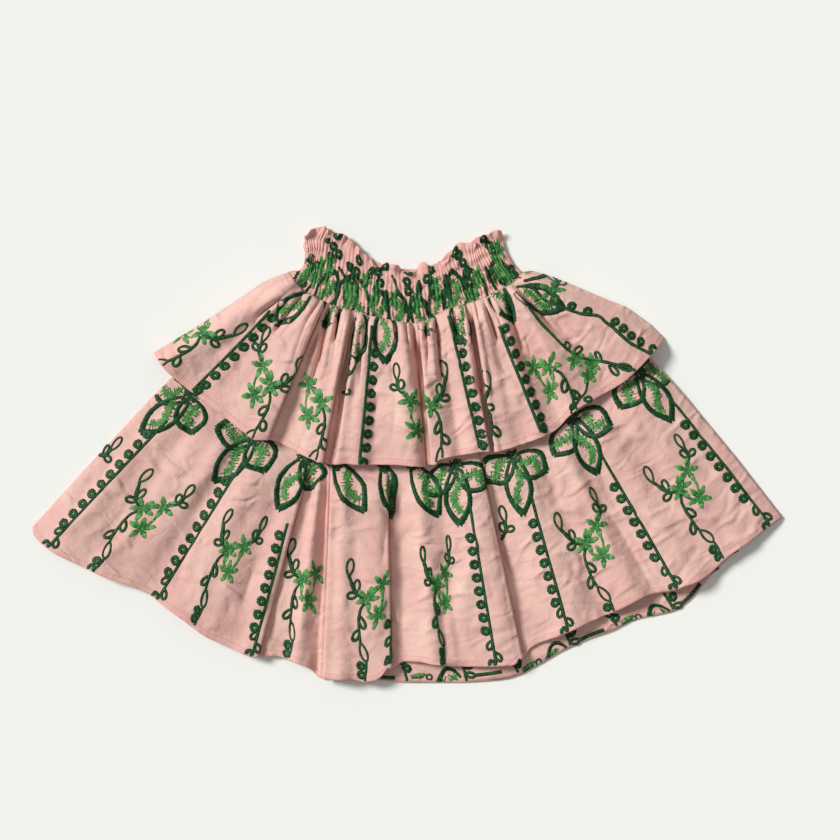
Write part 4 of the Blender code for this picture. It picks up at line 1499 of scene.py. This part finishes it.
def inside_repeat(dark, bright, motif):
    """The end of a line, a leaf cut by the hem, and a vine's end; the hem is at y 0."""
    dark.line(motif, [(-3.5, -17), (-1.5, 2)], 2.8)
    dark.dot(motif, 1.8, -11)
    dark.loop(motif, (-2, -4), (6, -1.5), 4.4)
    petal(dark, bright, motif, (-5, 2), -90, 20, 22, 3.6)
    dark.dot(motif, -33, -1.5, 3.0, 1.6)
    bright.satin(motif, [(-48, -1.5), (-36, -4)], [2.5, 5.5, 1.5], 0.5, 0.3)
    dark.line(motif, [(-48, -0.8), (-38, -1.6)], 2.2)
    dark.loop(motif, (-52, -11), (-57, -18), 4.2, 2.4)
    dark.dot(motif, -51, -9, 4.2)
    dark.line(motif, [(-53, -6), (-52, 2)], 2.6)
    dark.line(motif, [(6, -2.2), (29, -3)], 3.4, 1.3)


long_inside = Layer(long_back.points + (0, 0, CLOTH))
dark, bright = Skein(95), Skein(96)
for x, y in INSIDE_REPEATS_MM:
    inside_repeat(dark, bright, Motif(long_inside, x, y))
for x0, y0, x1, y1 in INSIDE_BARS_MM:
    motif, path = in_plan(long_inside, ((x0, y0), (x1, y1)), x0, y0)
    dark.line(motif, path, 3.4, 1.3)
worked("long_inside_dark_stitches", dark, dark_thread)
worked("long_inside_bright_stitches", bright, bright_thread)

# Underneath, on the face of the back half, the print runs in the same plain repeat.
# Each layer with its print's way round, its width as a share of the long tier's, the row
# of its grid where the flowers sit, the line's first dot and the vine's length in mm
BACKS = ((long_back, 1, 1, 46, 20, 70), (short_back, -1, 0.68, 18, 6, 50))
dark, bright = Skein(97), Skein(98)
for k, x in enumerate(np.arange(-260.5, 300, REPEAT / 2)):
    for layer, way, narrow, row, first, down in BACKS:
        hem = layer.points[-1]
        column = np.argmin(np.abs(hem[:, 0] - x * MM * narrow))
        px, py = layer.points[row, column, :2] / MM
        if k % 2:
            stripe(dark, layer, (px, py), hem[column, :2] / MM, -way, first)
            flower(dark, bright, Motif(layer, px, py), FLOWER[:3], 0.9)
        else:
            sprig(dark, bright, layer, px, py, 0, way, origin=(0, -20), down=down)
worked("back_dark_stitches", dark, dark_thread)
worked("back_bright_stitches", bright, bright_thread)

# Hem stitching
# Each tier's hem is turned up twice and sewn 5 mm from its edge in pink cotton thread.
sewing_thread = embroidery_thread("pink_sewing_thread", "#E3A39A", "#C9827B", 0.6)


def hem_seam(skein, layer, inset=HEM, pitch=2.7 * MM, long=1.9 * MM):
    """A row of straight machine stitches at an even distance from the hem."""
    size = layer.across[-1]
    columns = np.arange(len(size))
    starts = np.arange(2 * MM, size[-1] - 2 * MM, pitch)
    ends = []
    for place in (starts, starts + long):
        c = np.interp(place, size, columns)
        j = np.minimum(c.astype(int), len(size) - 2)
        r = [np.interp(layer.down[-1, k] - inset, layer.down[:, k], np.arange(len(layer.down))) for k in j]
        ends.append((np.array(r), c))
    (ra, ca), (rb, cb) = ends
    a, b = at(layer.points, ra, ca), at(layer.points, rb, cb)
    up = at(layer.normals, ra, ca)
    rows = [(a + b) / 2 + up * 0.12 * MM, b - a, up, np.full((len(a), 1), 0.55 * MM),
            np.full((len(a), 1), 0.35 * MM), skein.chance.uniform(0, 1, (len(a), 1))]
    skein.stitches.append(np.concatenate(rows, axis=1))


hems = Skein(99)
for layer in (long_front, short_front, long_inside):
    hem_seam(hems, layer)
worked("hem_stitches", hems, sewing_thread)

# Table, light, camera
# A matt pale sheet under the skirt, a large soft light from the upper left and a fill
# from all round, and a camera straight above, as the photograph was taken.
bpy.ops.mesh.primitive_plane_add(size=6)
table = bpy.context.object
table.name = "table"
matt = bpy.data.materials.new("matt_paper")
matt.use_nodes = True
paper = matt.node_tree.nodes["Principled BSDF"]
paper.inputs["Base Color"].default_value = linear("#F4F5F0")
paper.inputs["Roughness"].default_value = 0.95
table.data.materials.append(matt)

lamp = bpy.data.lights.new("window", "SUN")
lamp.angle = 0.3
lamp.energy = 3.2
window = bpy.data.objects.new("window", lamp)
window.location = (-1.45, 0.75, 1.35)
window.rotation_euler = window.location.to_track_quat("Z", "Y").to_euler()
bpy.context.scene.collection.objects.link(window)

world = bpy.data.worlds.new("room")
world.use_nodes = True
world.node_tree.nodes["Background"].inputs["Color"].default_value = linear("#F7F7F5")
world.node_tree.nodes["Background"].inputs["Strength"].default_value = 0.36
bpy.context.scene.world = world
bpy.context.scene.view_settings.view_transform = "Standard"

CAMERA_HEIGHT = 2.0
VIEW_WIDTH = 0.714          # what the photograph's 840 pixels span, at 0.85 mm each
lens = bpy.data.cameras.new("overhead")
lens.lens = lens.sensor_width * CAMERA_HEIGHT / VIEW_WIDTH
lens.clip_end = 20
overhead = bpy.data.objects.new("overhead", lens)
overhead.location = (0.0107, 0.0298, CAMERA_HEIGHT)
bpy.context.scene.collection.objects.link(overhead)
bpy.context.scene.camera = overhead
